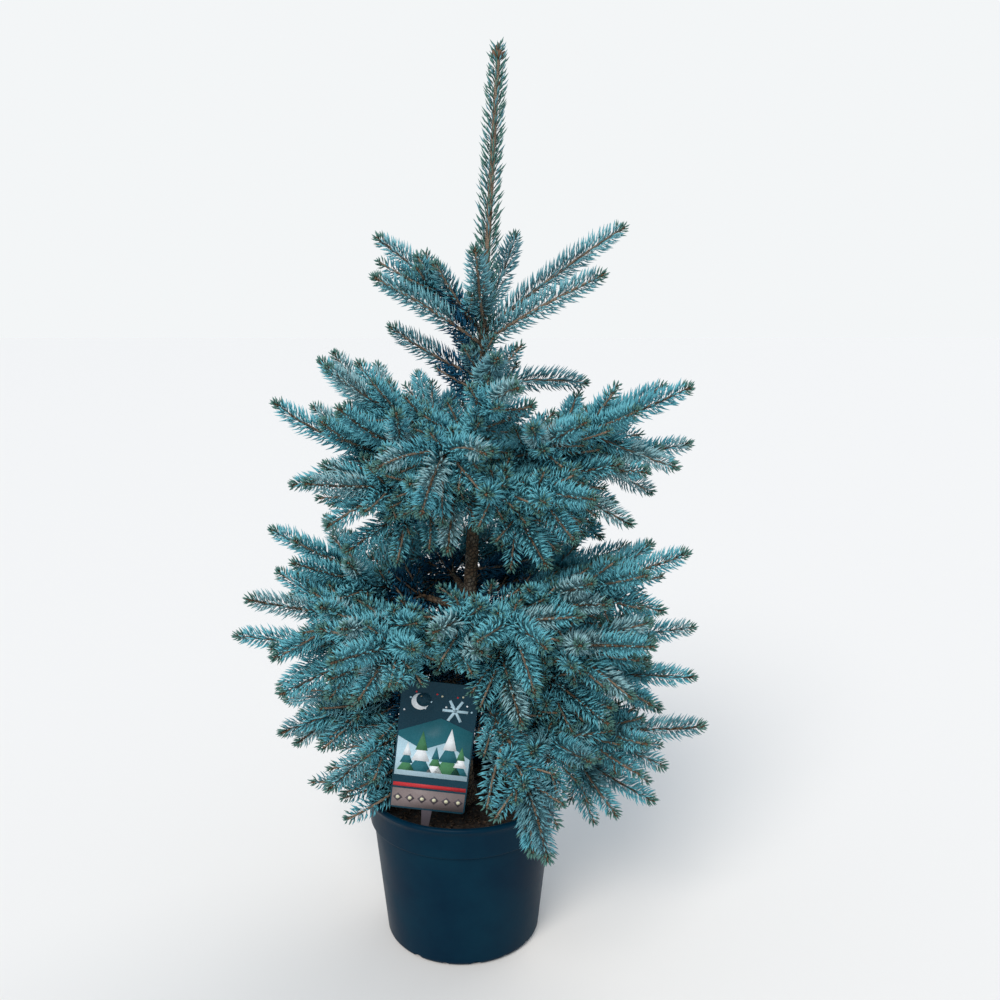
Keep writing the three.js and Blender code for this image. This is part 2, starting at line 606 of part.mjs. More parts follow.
const sleeve = spraySolid(leader, {
  corners: SLEEVE_SIDES,
  radiusAt: (i) => CORNER_REACH * (trunkRadius(sleeveHeight(i / sleeveRings)) + GAP) + SLEEVE_WALL,
  lean: LEADER_LEAN,
  pitch: SLEEVE_PITCH,
  bareFoot: 0,
});
addMesh("leader_needles", largestBody(sleeve.subtract(trunkCutter)), NEEDLES);

for (const bough of BOUGHS) {
  const sprays = twigs
    .filter((twig) => twig.bough === bough)
    .map((twig) => {
      const rings = Math.max(2, Math.round(lengthOf(twig.line) / PITCH));
      const root = ROOT_RADII[twig.order];
      const radiusAt = (i) => root + ((TIP_RADIUS - root) * i) / rings;
      return spraySolid(twig, { corners: 3, radiusAt, lean: NEEDLE_LEAN, pitch: PITCH, bareFoot: BARE_FOOT });
    });
  let mass = wasm.Manifold.union(sprays);
  if (bough.limb === 0) mass = mass.subtract(trunkCutter);
  addMesh(bough.name.replace("_", "_mass_"), largestBody(mass), NEEDLES);
}

export default spruce;
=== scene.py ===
"""A young blue spruce, a metre tall, in a five-litre nursery pot with a picture tag."""
import math

import bpy
import numpy as np
from mathutils import Matrix, Vector


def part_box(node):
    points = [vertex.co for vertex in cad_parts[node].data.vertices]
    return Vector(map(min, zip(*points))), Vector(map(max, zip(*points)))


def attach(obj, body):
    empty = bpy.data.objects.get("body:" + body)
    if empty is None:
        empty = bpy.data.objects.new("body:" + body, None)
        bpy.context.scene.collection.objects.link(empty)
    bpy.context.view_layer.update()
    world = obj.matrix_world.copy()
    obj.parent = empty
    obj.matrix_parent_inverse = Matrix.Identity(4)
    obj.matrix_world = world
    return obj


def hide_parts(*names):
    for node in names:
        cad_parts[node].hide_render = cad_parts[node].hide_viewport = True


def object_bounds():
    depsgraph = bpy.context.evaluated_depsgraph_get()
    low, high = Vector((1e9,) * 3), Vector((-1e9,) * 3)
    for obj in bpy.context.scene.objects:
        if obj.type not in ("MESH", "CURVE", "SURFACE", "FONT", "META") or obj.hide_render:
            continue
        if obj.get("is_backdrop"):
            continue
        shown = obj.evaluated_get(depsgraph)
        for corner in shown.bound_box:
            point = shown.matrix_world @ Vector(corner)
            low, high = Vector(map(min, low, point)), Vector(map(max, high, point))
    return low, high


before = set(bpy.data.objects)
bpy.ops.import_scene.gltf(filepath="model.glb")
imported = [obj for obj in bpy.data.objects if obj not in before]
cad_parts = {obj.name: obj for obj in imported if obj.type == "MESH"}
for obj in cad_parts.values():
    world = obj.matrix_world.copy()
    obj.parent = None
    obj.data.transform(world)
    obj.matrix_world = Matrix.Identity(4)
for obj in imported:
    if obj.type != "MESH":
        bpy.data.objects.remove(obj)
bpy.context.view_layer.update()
bpy.ops.object.select_all(action="DESELECT")

# ---------- camera
# The camera stands a little over a metre in front of the tree at the height of its upper boughs, and
# dips to take in the pot.
CAMERA_PLACE = (0.044, -1.10, 0.72)
CAMERA_DIP = 10.5
CAMERA_LENS = 36.1

level_view = math.radians(90 - CAMERA_DIP)
bpy.ops.object.camera_add(location=CAMERA_PLACE, rotation=(level_view, 0, 0))
camera = bpy.context.object
camera.name = "front_camera"
camera.data.lens = CAMERA_LENS
camera.data.clip_start = 0.05
bpy.context.scene.camera = camera

# ---------- studio
# A pale floor under a pale surround, one broad soft light from above on the left of the camera, and
# a weak one from behind that picks out the outer needles.
FLOOR_COLOUR = (0.864, 0.818, 0.774, 1)
SURROUND_SEEN = (0.90, 0.92, 0.93, 1)
SURROUND_LIGHT = (0.60, 0.75, 0.92, 1)
SURROUND_STRENGTH = 0.60
LIGHT_COLOUR = (1.0, 0.98, 0.95)
SOFT_LIGHTS = {
    "soft_light_above": ((0.36, 1.0, -0.92), 2.4, 34),
    "soft_light_behind": ((-0.7, -1.0, -1.1), 0.9, 50),
}


def new_material(name, roughness, specular):
    """A material with its shader, its tree and the place that its patterns read."""
    material = bpy.data.materials.new(name)
    material.use_nodes = True
    tree = material.node_tree
    shader = tree.nodes["Principled BSDF"]
    shader.inputs["Roughness"].default_value = roughness
    shader.inputs["Specular IOR Level"].default_value = specular
    place = tree.nodes.new("ShaderNodeTexCoord").outputs["Object"]
    return material, tree, shader, place


bpy.ops.mesh.primitive_plane_add(size=60)
floor = bpy.context.object
floor.name = "floor"
floor_paint, tree, shader, place = new_material("pale_floor", 0.9, 0.1)
shader.inputs["Base Color"].default_value = FLOOR_COLOUR
floor.data.materials.append(floor_paint)
floor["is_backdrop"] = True

surround = bpy.data.worlds.new("pale_surround")
surround.use_nodes = True
sky = surround.node_tree
sky_light = sky.nodes["Background"]
sky_light.inputs["Color"].default_value = SURROUND_LIGHT
sky_light.inputs["Strength"].default_value = SURROUND_STRENGTH
sky_seen = sky.nodes.new("ShaderNodeBackground")
sky_seen.inputs["Color"].default_value = SURROUND_SEEN
seen = sky.nodes.new("ShaderNodeLightPath").outputs["Is Camera Ray"]
either = sky.nodes.new("ShaderNodeMixShader")
sky.links.new(seen, either.inputs["Fac"])
sky.links.new(sky_light.outputs["Background"], either.inputs[1])
sky.links.new(sky_seen.outputs["Background"], either.inputs[2])
sky.links.new(either.outputs["Shader"], sky.nodes["World Output"].inputs["Surface"])
bpy.context.scene.world = surround
bpy.context.scene.view_settings.view_transform = "Standard"

for name, (aim, strength, spread) in SOFT_LIGHTS.items():
    turn = Vector(aim).to_track_quat("-Z", "Y").to_euler()
    bpy.ops.object.light_add(type="SUN", location=(0, 0, 3), rotation=turn)
    lamp = bpy.context.object
    lamp.name = name
    lamp.data.color = LIGHT_COLOUR
    lamp.data.energy = strength
    lamp.data.angle = math.radians(spread)

# ---------- pot
# A tapered five-litre container, injection moulded in thin blue-black polypropylene. A wider band
# runs under its rolled rim, and drainage slots are cut round the corner of its foot.
pot_low, pot_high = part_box("pot")
POT_HEIGHT = pot_high.z
RIM_RADIUS = (pot_high.x - pot_low.x) / 2
BAND_RADIUS = RIM_RADIUS - 0.003
SHOULDER_RADIUS = RIM_RADIUS - 0.007
FOOT_RADIUS = 0.090
FOOT_ROUND = 0.007
BAND_BOTTOM = 0.143
POT_WALL = 0.0022
LIP = 0.0032
SOIL_TOP = 0.160
SLOTS = 16
SLOT_RADII = (0.0060, 0.0042)
SLOT_DEPTH = 0.012
POT_COLOUR = (0.0002, 0.0150, 0.0330, 1)
POT_SCUFFED = (0.0010, 0.0230, 0.0430, 1)


def new_group(name, numbers, results):
    """A shader node group that reads a place and some numbers and gives numbers."""
    group = bpy.data.node_groups.new(name, "ShaderNodeTree")
    group.interface.new_socket(name="Place", in_out="INPUT", socket_type="NodeSocketVector")
    for way, labels in (("INPUT", numbers), ("OUTPUT", results)):
        for label in labels:
            group.interface.new_socket(name=label, in_out=way, socket_type="NodeSocketFloat")
    into = group.nodes.new("NodeGroupInput")
    out = group.nodes.new("NodeGroupOutput")
    return group, into.outputs, out.inputs


def add_noise(tree, vector, scale, detail):
    noise = tree.nodes.new("ShaderNodeTexNoise")
    noise.inputs["Detail"].default_value = detail
    noise.inputs["Roughness"].default_value = 0.55
    tree.links.new(vector, noise.inputs["Vector"])
    if isinstance(scale, (int, float)):
        noise.inputs["Scale"].default_value = scale
    else:
        tree.links.new(scale, noise.inputs["Scale"])
    return noise.outputs["Fac"]


def add_range(tree, value, from_low, from_high, to_low=0.0, to_high=1.0):
    spread = tree.nodes.new("ShaderNodeMapRange")
    for label, number in zip(("From Min", "From Max", "To Min", "To Max"),
                             (from_low, from_high, to_low, to_high)):
        spread.inputs[label].default_value = number
    tree.links.new(value, spread.inputs["Value"])
    return spread.outputs["Result"]


def add_blend(tree, share, first, second):
    """A colour between two others, which are sockets or plain colours."""
    mix = tree.nodes.new("ShaderNodeMix")
    mix.data_type = "RGBA"
    tree.links.new(share, mix.inputs["Factor"])
    for label, colour in (("A", first), ("B", second)):
        socket = next(s for s in mix.inputs if s.name == label and s.type == "RGBA")
        if isinstance(colour, tuple):
            socket.default_value = colour
        else:
            tree.links.new(colour, socket)
    return next(s for s in mix.outputs if s.type == "RGBA")


# Grain is two sizes of soft speckle: a mask for colour and gloss, and a height for the bump.
grain, grain_in, grain_out = new_group("grain", ["Coarse", "Fine"], ["Mask", "Height"])
coarse_speckle = add_noise(grain, grain_in["Place"], grain_in["Coarse"], 4)
fine_speckle = add_noise(grain, grain_in["Place"], grain_in["Fine"], 3)
grain.links.new(add_range(grain, coarse_speckle, 0.38, 0.66), grain_out["Mask"])
grain.links.new(fine_speckle, grain_out["Height"])


def place_group(tree, group, place, **values):
    node = tree.nodes.new("ShaderNodeGroup")
    node.node_tree = group
    tree.links.new(place, node.inputs["Place"])
    for label, number in values.items():
        node.inputs[label].default_value = number
    return node.outputs


def add_bump(tree, shader, height, strength, distance):
    bump = tree.nodes.new("ShaderNodeBump")
    bump.inputs["Strength"].default_value = strength
    bump.inputs["Distance"].default_value = distance
    tree.links.new(height, bump.inputs["Height"])
    tree.links.new(bump.outputs["Normal"], shader.inputs["Normal"])


def speckled(name, tones, sizes, roughness, specular, bump=None):
    """A material of two tones in coarse and fine grain. Bump is a strength and a depth."""
    material, tree, shader, place = new_material(name, roughness[0], specular)
    speckle = place_group(tree, grain, place, Coarse=sizes[0], Fine=sizes[1])
    tree.links.new(add_blend(tree, speckle["Mask"], *tones), shader.inputs["Base Color"])
    if roughness[1] > roughness[0]:
        tree.links.new(add_range(tree, speckle["Mask"], 0, 1, *roughness), shader.inputs["Roughness"])
    if bump:
        add_bump(tree, shader, speckle["Height"], *bump)
    return material


def paler(colour, gain, lift):
    return tuple(min(1, c * gain + lift) for c in colour[:3]) + (1,)


pot_plastic = speckled(
    "pot_plastic", (POT_COLOUR, POT_SCUFFED), (14, 420), (0.36, 0.50), 0.06, (0.25, 0.0004))


def take(piece):
    """Makes this piece the only one that the next operator acts on."""
    bpy.ops.object.select_all(action="DESELECT")
    piece.select_set(True)
    bpy.context.view_layer.objects.active = piece


def edit_all(operator, **settings):
    """Runs one mesh operator on all of the active piece."""
    bpy.ops.object.mode_set(mode="EDIT")
    bpy.ops.mesh.select_all(action="SELECT")
    operator(**settings)
    bpy.ops.object.mode_set(mode="OBJECT")


def finish_piece(piece, name, slot, *nodes):
    """Puts the piece's place into its mesh and lets it ride, standing for the nodes named."""
    take(piece)
    bpy.ops.object.transform_apply(location=True, rotation=True, scale=True)
    piece.name = name
    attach(piece, "root")
    if nodes:
        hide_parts(*nodes)


def arc_points(radius, height, reach, start, end, steps):
    """Points (radius, height) round an arc, with its angles in degrees."""
    angles = [math.radians(start + (end - start) * i / steps) for i in range(steps + 1)]
    return [(radius + reach * math.cos(a), height + reach * math.sin(a)) for a in angles]


def turned(outline, sides):
    """A round shell drawn up ring by ring through the outline's (radius, height) points."""
    radius, height = outline[0]
    bpy.ops.mesh.primitive_circle_add(
        vertices=sides, radius=radius, location=(0, 0, height), fill_type="NGON")
    bpy.ops.object.mode_set(mode="EDIT")
    bpy.ops.mesh.select_all(action="SELECT")
    for (before, low), (after, high) in zip(outline, outline[1:]):
        bpy.ops.mesh.extrude_region_move(TRANSFORM_OT_translate={"value": (0, 0, high - low)})
        share = after / before
        bpy.ops.transform.resize(value=(share, share, 1), center_override=(0, 0, high))
    bpy.ops.object.mode_set(mode="OBJECT")
    edit_all(bpy.ops.mesh.normals_make_consistent, inside=False)
    return bpy.context.object


def apply_modifier(piece, kind, **settings):
    modifier = piece.modifiers.new(kind.lower(), kind)
    for label, value in settings.items():
        setattr(modifier, label, value)
    bpy.context.view_layer.objects.active = piece
    bpy.ops.object.modifier_apply(modifier=modifier.name)


def roughen(piece, relief, strength, **settings):
    """Pushes a piece's skin in and out by a solid pattern."""
    apply_modifier(piece, "DISPLACE", texture=relief, texture_coords="LOCAL", strength=strength, **settings)


pot = turned([
    (FOOT_RADIUS - FOOT_ROUND, 0.0),
    *arc_points(FOOT_RADIUS - FOOT_ROUND, FOOT_ROUND, FOOT_ROUND, -75, 0, 5),
    (SHOULDER_RADIUS - 0.0008, BAND_BOTTOM - 0.002),
    *arc_points(SHOULDER_RADIUS + 0.0012, BAND_BOTTOM, 0.0018, -90, 0, 3),
    (BAND_RADIUS, POT_HEIGHT - 0.011),
    *arc_points(RIM_RADIUS - LIP, POT_HEIGHT - LIP, LIP, -60, 150, 8),
    (BAND_RADIUS - POT_WALL, BAND_BOTTOM + 0.003),
    (SHOULDER_RADIUS - POT_WALL, BAND_BOTTOM),
    (FOOT_RADIUS - POT_WALL, 0.010),
    (FOOT_RADIUS - FOOT_ROUND, 0.003),
], 128)

# Each drainage slot is a rounded bite out of the corner where the wall meets the underside.
for index in range(SLOTS):
    round_pot = 2 * math.pi * (index + 0.5) / SLOTS
    seat = (FOOT_RADIUS * math.cos(round_pot), FOOT_RADIUS * math.sin(round_pot), 0.0)
    bpy.ops.mesh.primitive_cylinder_add(
        vertices=20, radius=SLOT_RADII[index % 2], depth=SLOT_DEPTH, location=seat,
        rotation=(0, math.pi / 2, round_pot))
    cutter = bpy.context.object
    apply_modifier(pot, "BOOLEAN", operation="DIFFERENCE", object=cutter, solver="EXACT")
    bpy.data.objects.remove(cutter)
take(pot)
bpy.ops.object.shade_smooth_by_angle(angle=math.radians(38))
pot.data.materials.append(pot_plastic)
finish_piece(pot, "nursery_pot", "pot", "pot")

# ---------- compost
# Damp peat-free compost fills the pot to just under its rim, mounded to the stem. Crumbs of bark
# and fibre lie on it.
SOIL_DARK = (0.009, 0.006, 0.005, 1)
SOIL_PALE = (0.042, 0.028, 0.019, 1)
CHIP_DARK = (0.045, 0.026, 0.016, 1)
CHIP_PALE = (0.130, 0.082, 0.050, 1)
CHIPS = 1100
soil_skin = SHOULDER_RADIUS - POT_WALL - 0.0006
compost, crumb_bark = [
    speckled(name, tones, (160, 700), (0.9, 0.9), 0.3, (0.9, 0.002)) for name, tones in (
        ("damp_compost", (SOIL_DARK, SOIL_PALE)), ("crumb_bark", (CHIP_DARK, CHIP_PALE)))]

rings = 20
soil = turned([
    (FOOT_RADIUS - FOOT_ROUND - 0.001, 0.0033),
    (FOOT_RADIUS - POT_WALL - 0.0008, 0.0105),
    (soil_skin, BAND_BOTTOM),
    *[(soil_skin * (1 - i / rings), SOIL_TOP - 0.004 * (1 - i / rings) ** 2) for i in range(1, rings)],
    (0.0004, SOIL_TOP),
], 96)
lumps = bpy.data.textures.new("soil_lumps", "CLOUDS")
lumps.noise_scale = 0.012
top_of_soil = soil.vertex_groups.new(name="top")
top_of_soil.add([v.index for v in soil.data.vertices if v.co.z > SOIL_TOP - 0.008], 1.0, "REPLACE")
roughen(soil, lumps, 0.005, direction="Z", mid_level=1.0, vertex_group="top")
soil.data.materials.append(compost)
finish_piece(soil, "compost_fill", "soil", "soil")


def mesh_piece(name, points, faces, tints=None):
    """A new piece from arrays. Faces are rows of corner numbers, in groups of one width each."""
    mesh = bpy.data.meshes.new(name)
    counts = np.concatenate([np.full(len(group), group.shape[1]) for group in faces])
    mesh.vertices.add(len(points))
    mesh.vertices.foreach_set("co", np.asarray(points, np.float32).ravel())
    mesh.loops.add(int(counts.sum()))
    mesh.loops.foreach_set("vertex_index", np.concatenate([group.ravel() for group in faces]))
    mesh.polygons.add(len(counts))
    starts = np.concatenate([[0], np.cumsum(counts)[:-1]])
    mesh.polygons.foreach_set("loop_start", starts)
    if tints is not None:
        mesh.polygons.foreach_set("material_index", tints)
    mesh.update(calc_edges=True)
    piece = bpy.data.objects.new(name, mesh)
    bpy.context.scene.collection.objects.link(piece)
    return piece


# A crumb is a squashed four-sided chip, closed by four faces, and lies at any angle.
chance = np.random.default_rng(5)
chip_angle = chance.uniform(0, 2 * math.pi, CHIPS)
chip_reach = 0.014 + (soil_skin - 0.017) * np.sqrt(chance.uniform(0, 1, CHIPS))
chip_seat = np.stack([
    chip_reach * np.cos(chip_angle), chip_reach * np.sin(chip_angle),
    np.full(CHIPS, SOIL_TOP - 0.0030)], 1)
chip_corners = chance.normal(0, 1, (CHIPS, 4, 3))
chip_corners /= np.linalg.norm(chip_corners, axis=2, keepdims=True)
chip_corners *= chance.uniform(0.0012, 0.0042, (CHIPS, 1, 1)) * np.array([1, 1, 0.45])
chip_faces = (np.arange(CHIPS)[:, None, None] * 4
              + np.array([[0, 1, 2], [0, 3, 1], [1, 3, 2], [2, 3, 0]])).reshape(-1, 3)
chips = mesh_piece("bark_crumbs", (chip_corners + chip_seat[:, None]).reshape(-1, 3), [chip_faces])
take(chips)
edit_all(bpy.ops.mesh.normals_make_consistent, inside=False)
chips.data.materials.append(crumb_bark)
finish_piece(chips, "bark_crumbs", "soil")

# ---------- picture tag
# A thin card of printed polystyrene with rounded corners, on a pointed stake that is pushed into
# the compost inside the front of the rim. Its print is a winter night in flat colours.
TAG_WIDTH = 0.082
TAG_HEIGHT = 0.152
TAG_THICKNESS = 0.001
TAG_CORNER = 0.004
STAKE_WIDTH = 0.012
STAKE_DEPTH = 0.072
STAKE_ROUND = 0.00025
STAKE_POINT = 0.08
TAG_ROLL = 7
TAG_LEAN = 4
TAG_PLACE = (-0.036, -0.086, 0.188)
INK = 0.00006
DIAMONDS = 6
DIAMOND_PITCH = 0.0132
FIRS = [(-0.028, 1.2), (-0.013, 1.7), (0.003, 1.1), (0.017, 1.9), (0.030, 1.2)]
DOTS = 14
STAR = np.array([0.018, 0.121])
STAR_ARM = 0.0136
STAR_WIDTH = 0.003
tag_seat = (Matrix.Translation(TAG_PLACE) @ Matrix.Rotation(math.radians(TAG_LEAN), 4, "X")
            @ Matrix.Rotation(math.radians(TAG_ROLL), 4, "Y"))
INKS = {
    "night": (0.004, 0.035, 0.055, 1),
    "teal": (0.020, 0.130, 0.160, 1),
    "ice": (0.480, 0.660, 0.740, 1),
    "white": (0.800, 0.820, 0.830, 1),
    "red": (0.480, 0.030, 0.035, 1),
    "cream": (0.640, 0.600, 0.420, 1),
    "green": (0.060, 0.200, 0.090, 1),
    "stone": (0.210, 0.165, 0.160, 1),
    "slate": (0.085, 0.070, 0.080, 1),
}
inks = {
    name: speckled(
        "ink_" + name, (colour, paler(colour, 1.12, 0.01)), (900, 2400), (0.34, 0.34), 0.12, (0.08, 0.0001))
    for name, colour in INKS.items()}

bpy.ops.mesh.primitive_plane_add(size=1, rotation=(math.pi / 2, 0, 0), location=(0, 0, TAG_HEIGHT / 2))
card = bpy.context.object
card.scale = (TAG_WIDTH, TAG_HEIGHT, 1)
bpy.ops.object.transform_apply()
edit_all(bpy.ops.mesh.bevel, offset=TAG_CORNER, segments=5, affect="VERTICES")
apply_modifier(card, "SOLIDIFY", thickness=TAG_THICKNESS, offset=0)
card.data.materials.append(inks["night"])

bpy.ops.mesh.primitive_cube_add(size=1, location=(0, 0.0002, -STAKE_DEPTH / 2 + 0.004))
stake = bpy.context.object
stake.scale = (STAKE_WIDTH, TAG_THICKNESS, STAKE_DEPTH)
bpy.ops.object.transform_apply()
foot = min(v.co.z for v in stake.data.vertices)
for v in stake.data.vertices:
    if v.co.z < foot + 0.001:
        v.co.x *= STAKE_POINT
edit_all(bpy.ops.mesh.bevel, offset=STAKE_ROUND, segments=2, affect="EDGES")
stake.data.materials.append(inks["slate"])


def printed(ink, layer, corners):
    """One flat patch of ink on the card's front, from (across, up) corners in metres."""
    depth = -TAG_THICKNESS / 2 - INK * layer
    front = np.array([(x, depth, z) for x, z in corners])
    back = front + (0, INK * (layer + 1), 0)
    count = len(corners)
    ring = np.arange(count)
    after = (ring + 1) % count
    sides = np.stack([ring, ring + count, after + count, after], 1)
    faces = [ring[None, :], (ring[::-1] + count)[None, :], sides]
    patch = mesh_piece("patch", np.concatenate([front, back]), faces)
    patch.data.materials.append(inks[ink])
    return patch


def disc(x, z, radius, sides):
    angles = [2 * math.pi * i / sides for i in range(sides)]
    return [(x + radius * math.cos(a), z + radius * math.sin(a)) for a in angles]


# The print: hills and a moon on a night ground, a row of little firs, a stone band with diamonds.
half = TAG_WIDTH / 2 - 0.0015
patches = [
    printed("teal", 1, [(-half, 0.055), (half, 0.050), (half, 0.098), (0.004, 0.111), (-half, 0.092)]),
    printed("ice", 2, [
        (-half, 0.040), (half, 0.040), (half, 0.066), (0.012, 0.083), (-0.012, 0.072), (-half, 0.086)]),
    printed("stone", 2, [(-half, 0.002), (half, 0.002), (half, 0.024), (-half, 0.024)]),
    printed("red", 2, [(-half, 0.0265), (half, 0.0265), (half, 0.031), (-half, 0.031)]),
    printed("white", 2, disc(-0.020, 0.128, 0.0095, 24)),
    printed("night", 3, disc(-0.0165, 0.1305, 0.0080, 24)),
]
for index in range(DIAMONDS):
    x = DIAMOND_PITCH * (index - (DIAMONDS - 1) / 2)
    patches.append(printed("slate", 3, disc(x, 0.013, 0.0052, 4)))
    patches.append(printed("cream", 4, disc(x, 0.013, 0.0021, 12)))
for index, (x, size) in enumerate(FIRS):
    for level in range(3):
        low = 0.046 + 0.0075 * level * size
        wide = 0.0078 * size * (1 - 0.25 * level)
        tint = ("green", "teal", "white")[(index + level) % 3]
        patches.append(printed(tint, 3 + level, [(x - wide, low), (x + wide, low), (x, low + 0.0135 * size)]))
for index in range(DOTS):
    tint = ("white", "ice", "red", "cream")[index % 4]
    x = -0.036 + 0.0055 * index
    z = 0.117 + 0.022 * abs(math.sin(2.4 * index))
    patches.append(printed(tint, 3, disc(x, z, 0.0011, 8)))
for spoke in range(3):
    turn = math.pi * spoke / 3
    arm = STAR_ARM * np.array([math.cos(turn), math.sin(turn)])
    edge = STAR_WIDTH / 2 * np.array([-math.sin(turn), math.cos(turn)])
    corners = [STAR - arm - edge, STAR + arm - edge, STAR + arm + edge, STAR - arm + edge]
    patches.append(printed("ice", 4, corners))

take(card)
for part in (stake, *patches):
    part.select_set(True)
bpy.ops.object.join()
card.matrix_world = tag_seat
finish_piece(card, "printed_tag", "picture_tag", "picture_tag")

# ---------- trunk
# One leading stem runs from the compost to the tip. The old wood is brown, scaly and flared at its
# foot, and the top year's leader is smooth and tan.
TREE_TOP = 0.994
TRUNK_LEAN = 0.043
TRUNK_STEP = 0.004
FLARE = 0.008
FLARE_FADE = 0.016
ROOTS = 5
ROOT_BULGE = 0.35
LEADER_FOOT = 0.706
SOIL_RADIUS = 0.0106
OLD_WOOD_TOP = 0.0040
BUD_FOOT = TREE_TOP - 0.016
TRUNK_RADII = (
    [SOIL_TOP, LEADER_FOOT, LEADER_FOOT + 1e-9, BUD_FOOT, TREE_TOP],
    [SOIL_RADIUS, OLD_WOOD_TOP, 0.0035, 0.0025, 0.0005])
BARK_RELIEF = 0.0022
BARK_DARK = (0.030, 0.022, 0.016, 1)
BARK_BROWN = (0.190, 0.120, 0.070, 1)
BARK_GREY = (0.210, 0.180, 0.140, 1)
SHOOT_TAN = (0.360, 0.260, 0.180, 1)
SHOOT_BROWN = (0.200, 0.130, 0.085, 1)

# Bark is plates split by dark cracks: a mask that is 1 in the cracks, a patchy lichen-grey mask and
# a height for the bump.
bark, bark_in, bark_out = new_group("bark", ["Plates"], ["Cracks", "Patches", "Height"])
plates = bark.nodes.new("ShaderNodeTexVoronoi")
plates.feature = "DISTANCE_TO_EDGE"
bark.links.new(bark_in["Place"], plates.inputs["Vector"])
bark.links.new(bark_in["Plates"], plates.inputs["Scale"])
bark.links.new(add_range(bark, plates.outputs["Distance"], 0.0, 0.16, 1, 0), bark_out["Cracks"])
bark.links.new(add_range(bark, add_noise(bark, bark_in["Place"], 60, 4), 0.45, 0.65), bark_out["Patches"])
bark.links.new(add_range(bark, plates.outputs["Distance"], 0.0, 0.25), bark_out["Height"])


def bark_material(name, ground, patch, crack, plates, roughness, depth):
    material, tree, shader, place = new_material(name, roughness, 0.35)
    skin = place_group(tree, bark, place, Plates=plates)
    patched = add_blend(tree, skin["Patches"], ground, patch)
    cracked = add_blend(tree, skin["Cracks"], patched, crack)
    tree.links.new(cracked, shader.inputs["Base Color"])
    add_bump(tree, shader, skin["Height"], 0.8, depth)
    return material


old_bark = bark_material("old_bark", BARK_BROWN, BARK_GREY, BARK_DARK, 210, 0.88, 0.0012)
young_bark = bark_material("young_bark", SHOOT_TAN, SHOOT_BROWN, SHOOT_BROWN, 520, 0.7, 0.0005)


def trunk_centre(height):
    share = max(0.0, (height - SOIL_TOP) / (TREE_TOP - SOIL_TOP))
    return np.array([TRUNK_LEAN * share ** 1.2, 0.0, height])


def trunk_radius(height):
    return float(np.interp(height, *TRUNK_RADII))


def stems(name, lines, roundness):
    """Round stems swept along lines of (point, radius), closed at both ends, as one mesh."""
    curve = bpy.data.curves.new(name, "CURVE")
    curve.dimensions = "3D"
    curve.bevel_depth = 1.0
    curve.bevel_resolution = roundness
    curve.use_fill_caps = True
    for points, radii in lines:
        spline = curve.splines.new("POLY")
        spline.points.add(len(points) - 1)
        spline.points.foreach_set("co", np.column_stack([points, np.ones(len(points))]).ravel())
        spline.points.foreach_set("radius", radii)
    stem = bpy.data.objects.new(name, curve)
    bpy.context.scene.collection.objects.link(stem)
    take(stem)
    bpy.ops.object.convert(target="MESH")
    stem = bpy.context.object
    edit_all(bpy.ops.mesh.remove_doubles, threshold=0.00002)
    edit_all(bpy.ops.mesh.normals_make_consistent, inside=False)
    stem.data.shade_smooth()
    return stem


heights = [*np.arange(SOIL_TOP - 0.004, BUD_FOOT, TRUNK_STEP), TREE_TOP - 0.010, TREE_TOP - 0.004, TREE_TOP]
trunk = stems("trunk_wood", [([trunk_centre(h) for h in heights], [trunk_radius(h) for h in heights])], 8)
for v in trunk.data.vertices:
    centre = trunk_centre(v.co.z)
    out = Vector((v.co.x - centre[0], v.co.y - centre[1], 0))
    fade = math.exp(-max(0.0, v.co.z - SOIL_TOP) / FLARE_FADE)
    angle = math.atan2(out.y, out.x)
    v.co += out.normalized() * FLARE * fade * (1 + ROOT_BULGE * math.cos(ROOTS * angle))

old_wood = trunk.vertex_groups.new(name="old_wood")
for v in trunk.data.vertices:
    share = np.interp(v.co.z, [SOIL_TOP, LEADER_FOOT], [1.0, 0.25]) if v.co.z < LEADER_FOOT else 0.12
    old_wood.add([v.index], float(share), "REPLACE")
scales = bpy.data.textures.new("bark_scales", "VORONOI")
scales.noise_scale = 0.006
scales.distance_metric = "DISTANCE"
apply_modifier(trunk, "SUBSURF", levels=1, render_levels=1)
roughen(trunk, scales, BARK_RELIEF, vertex_group="old_wood")
trunk.data.materials.append(old_bark)
trunk.data.materials.append(young_bark)
for polygon in trunk.data.polygons:
    polygon.material_index = 1 if polygon.center.z > LEADER_FOOT else 0
finish_piece(trunk, "trunk_wood", "bark", "trunk")

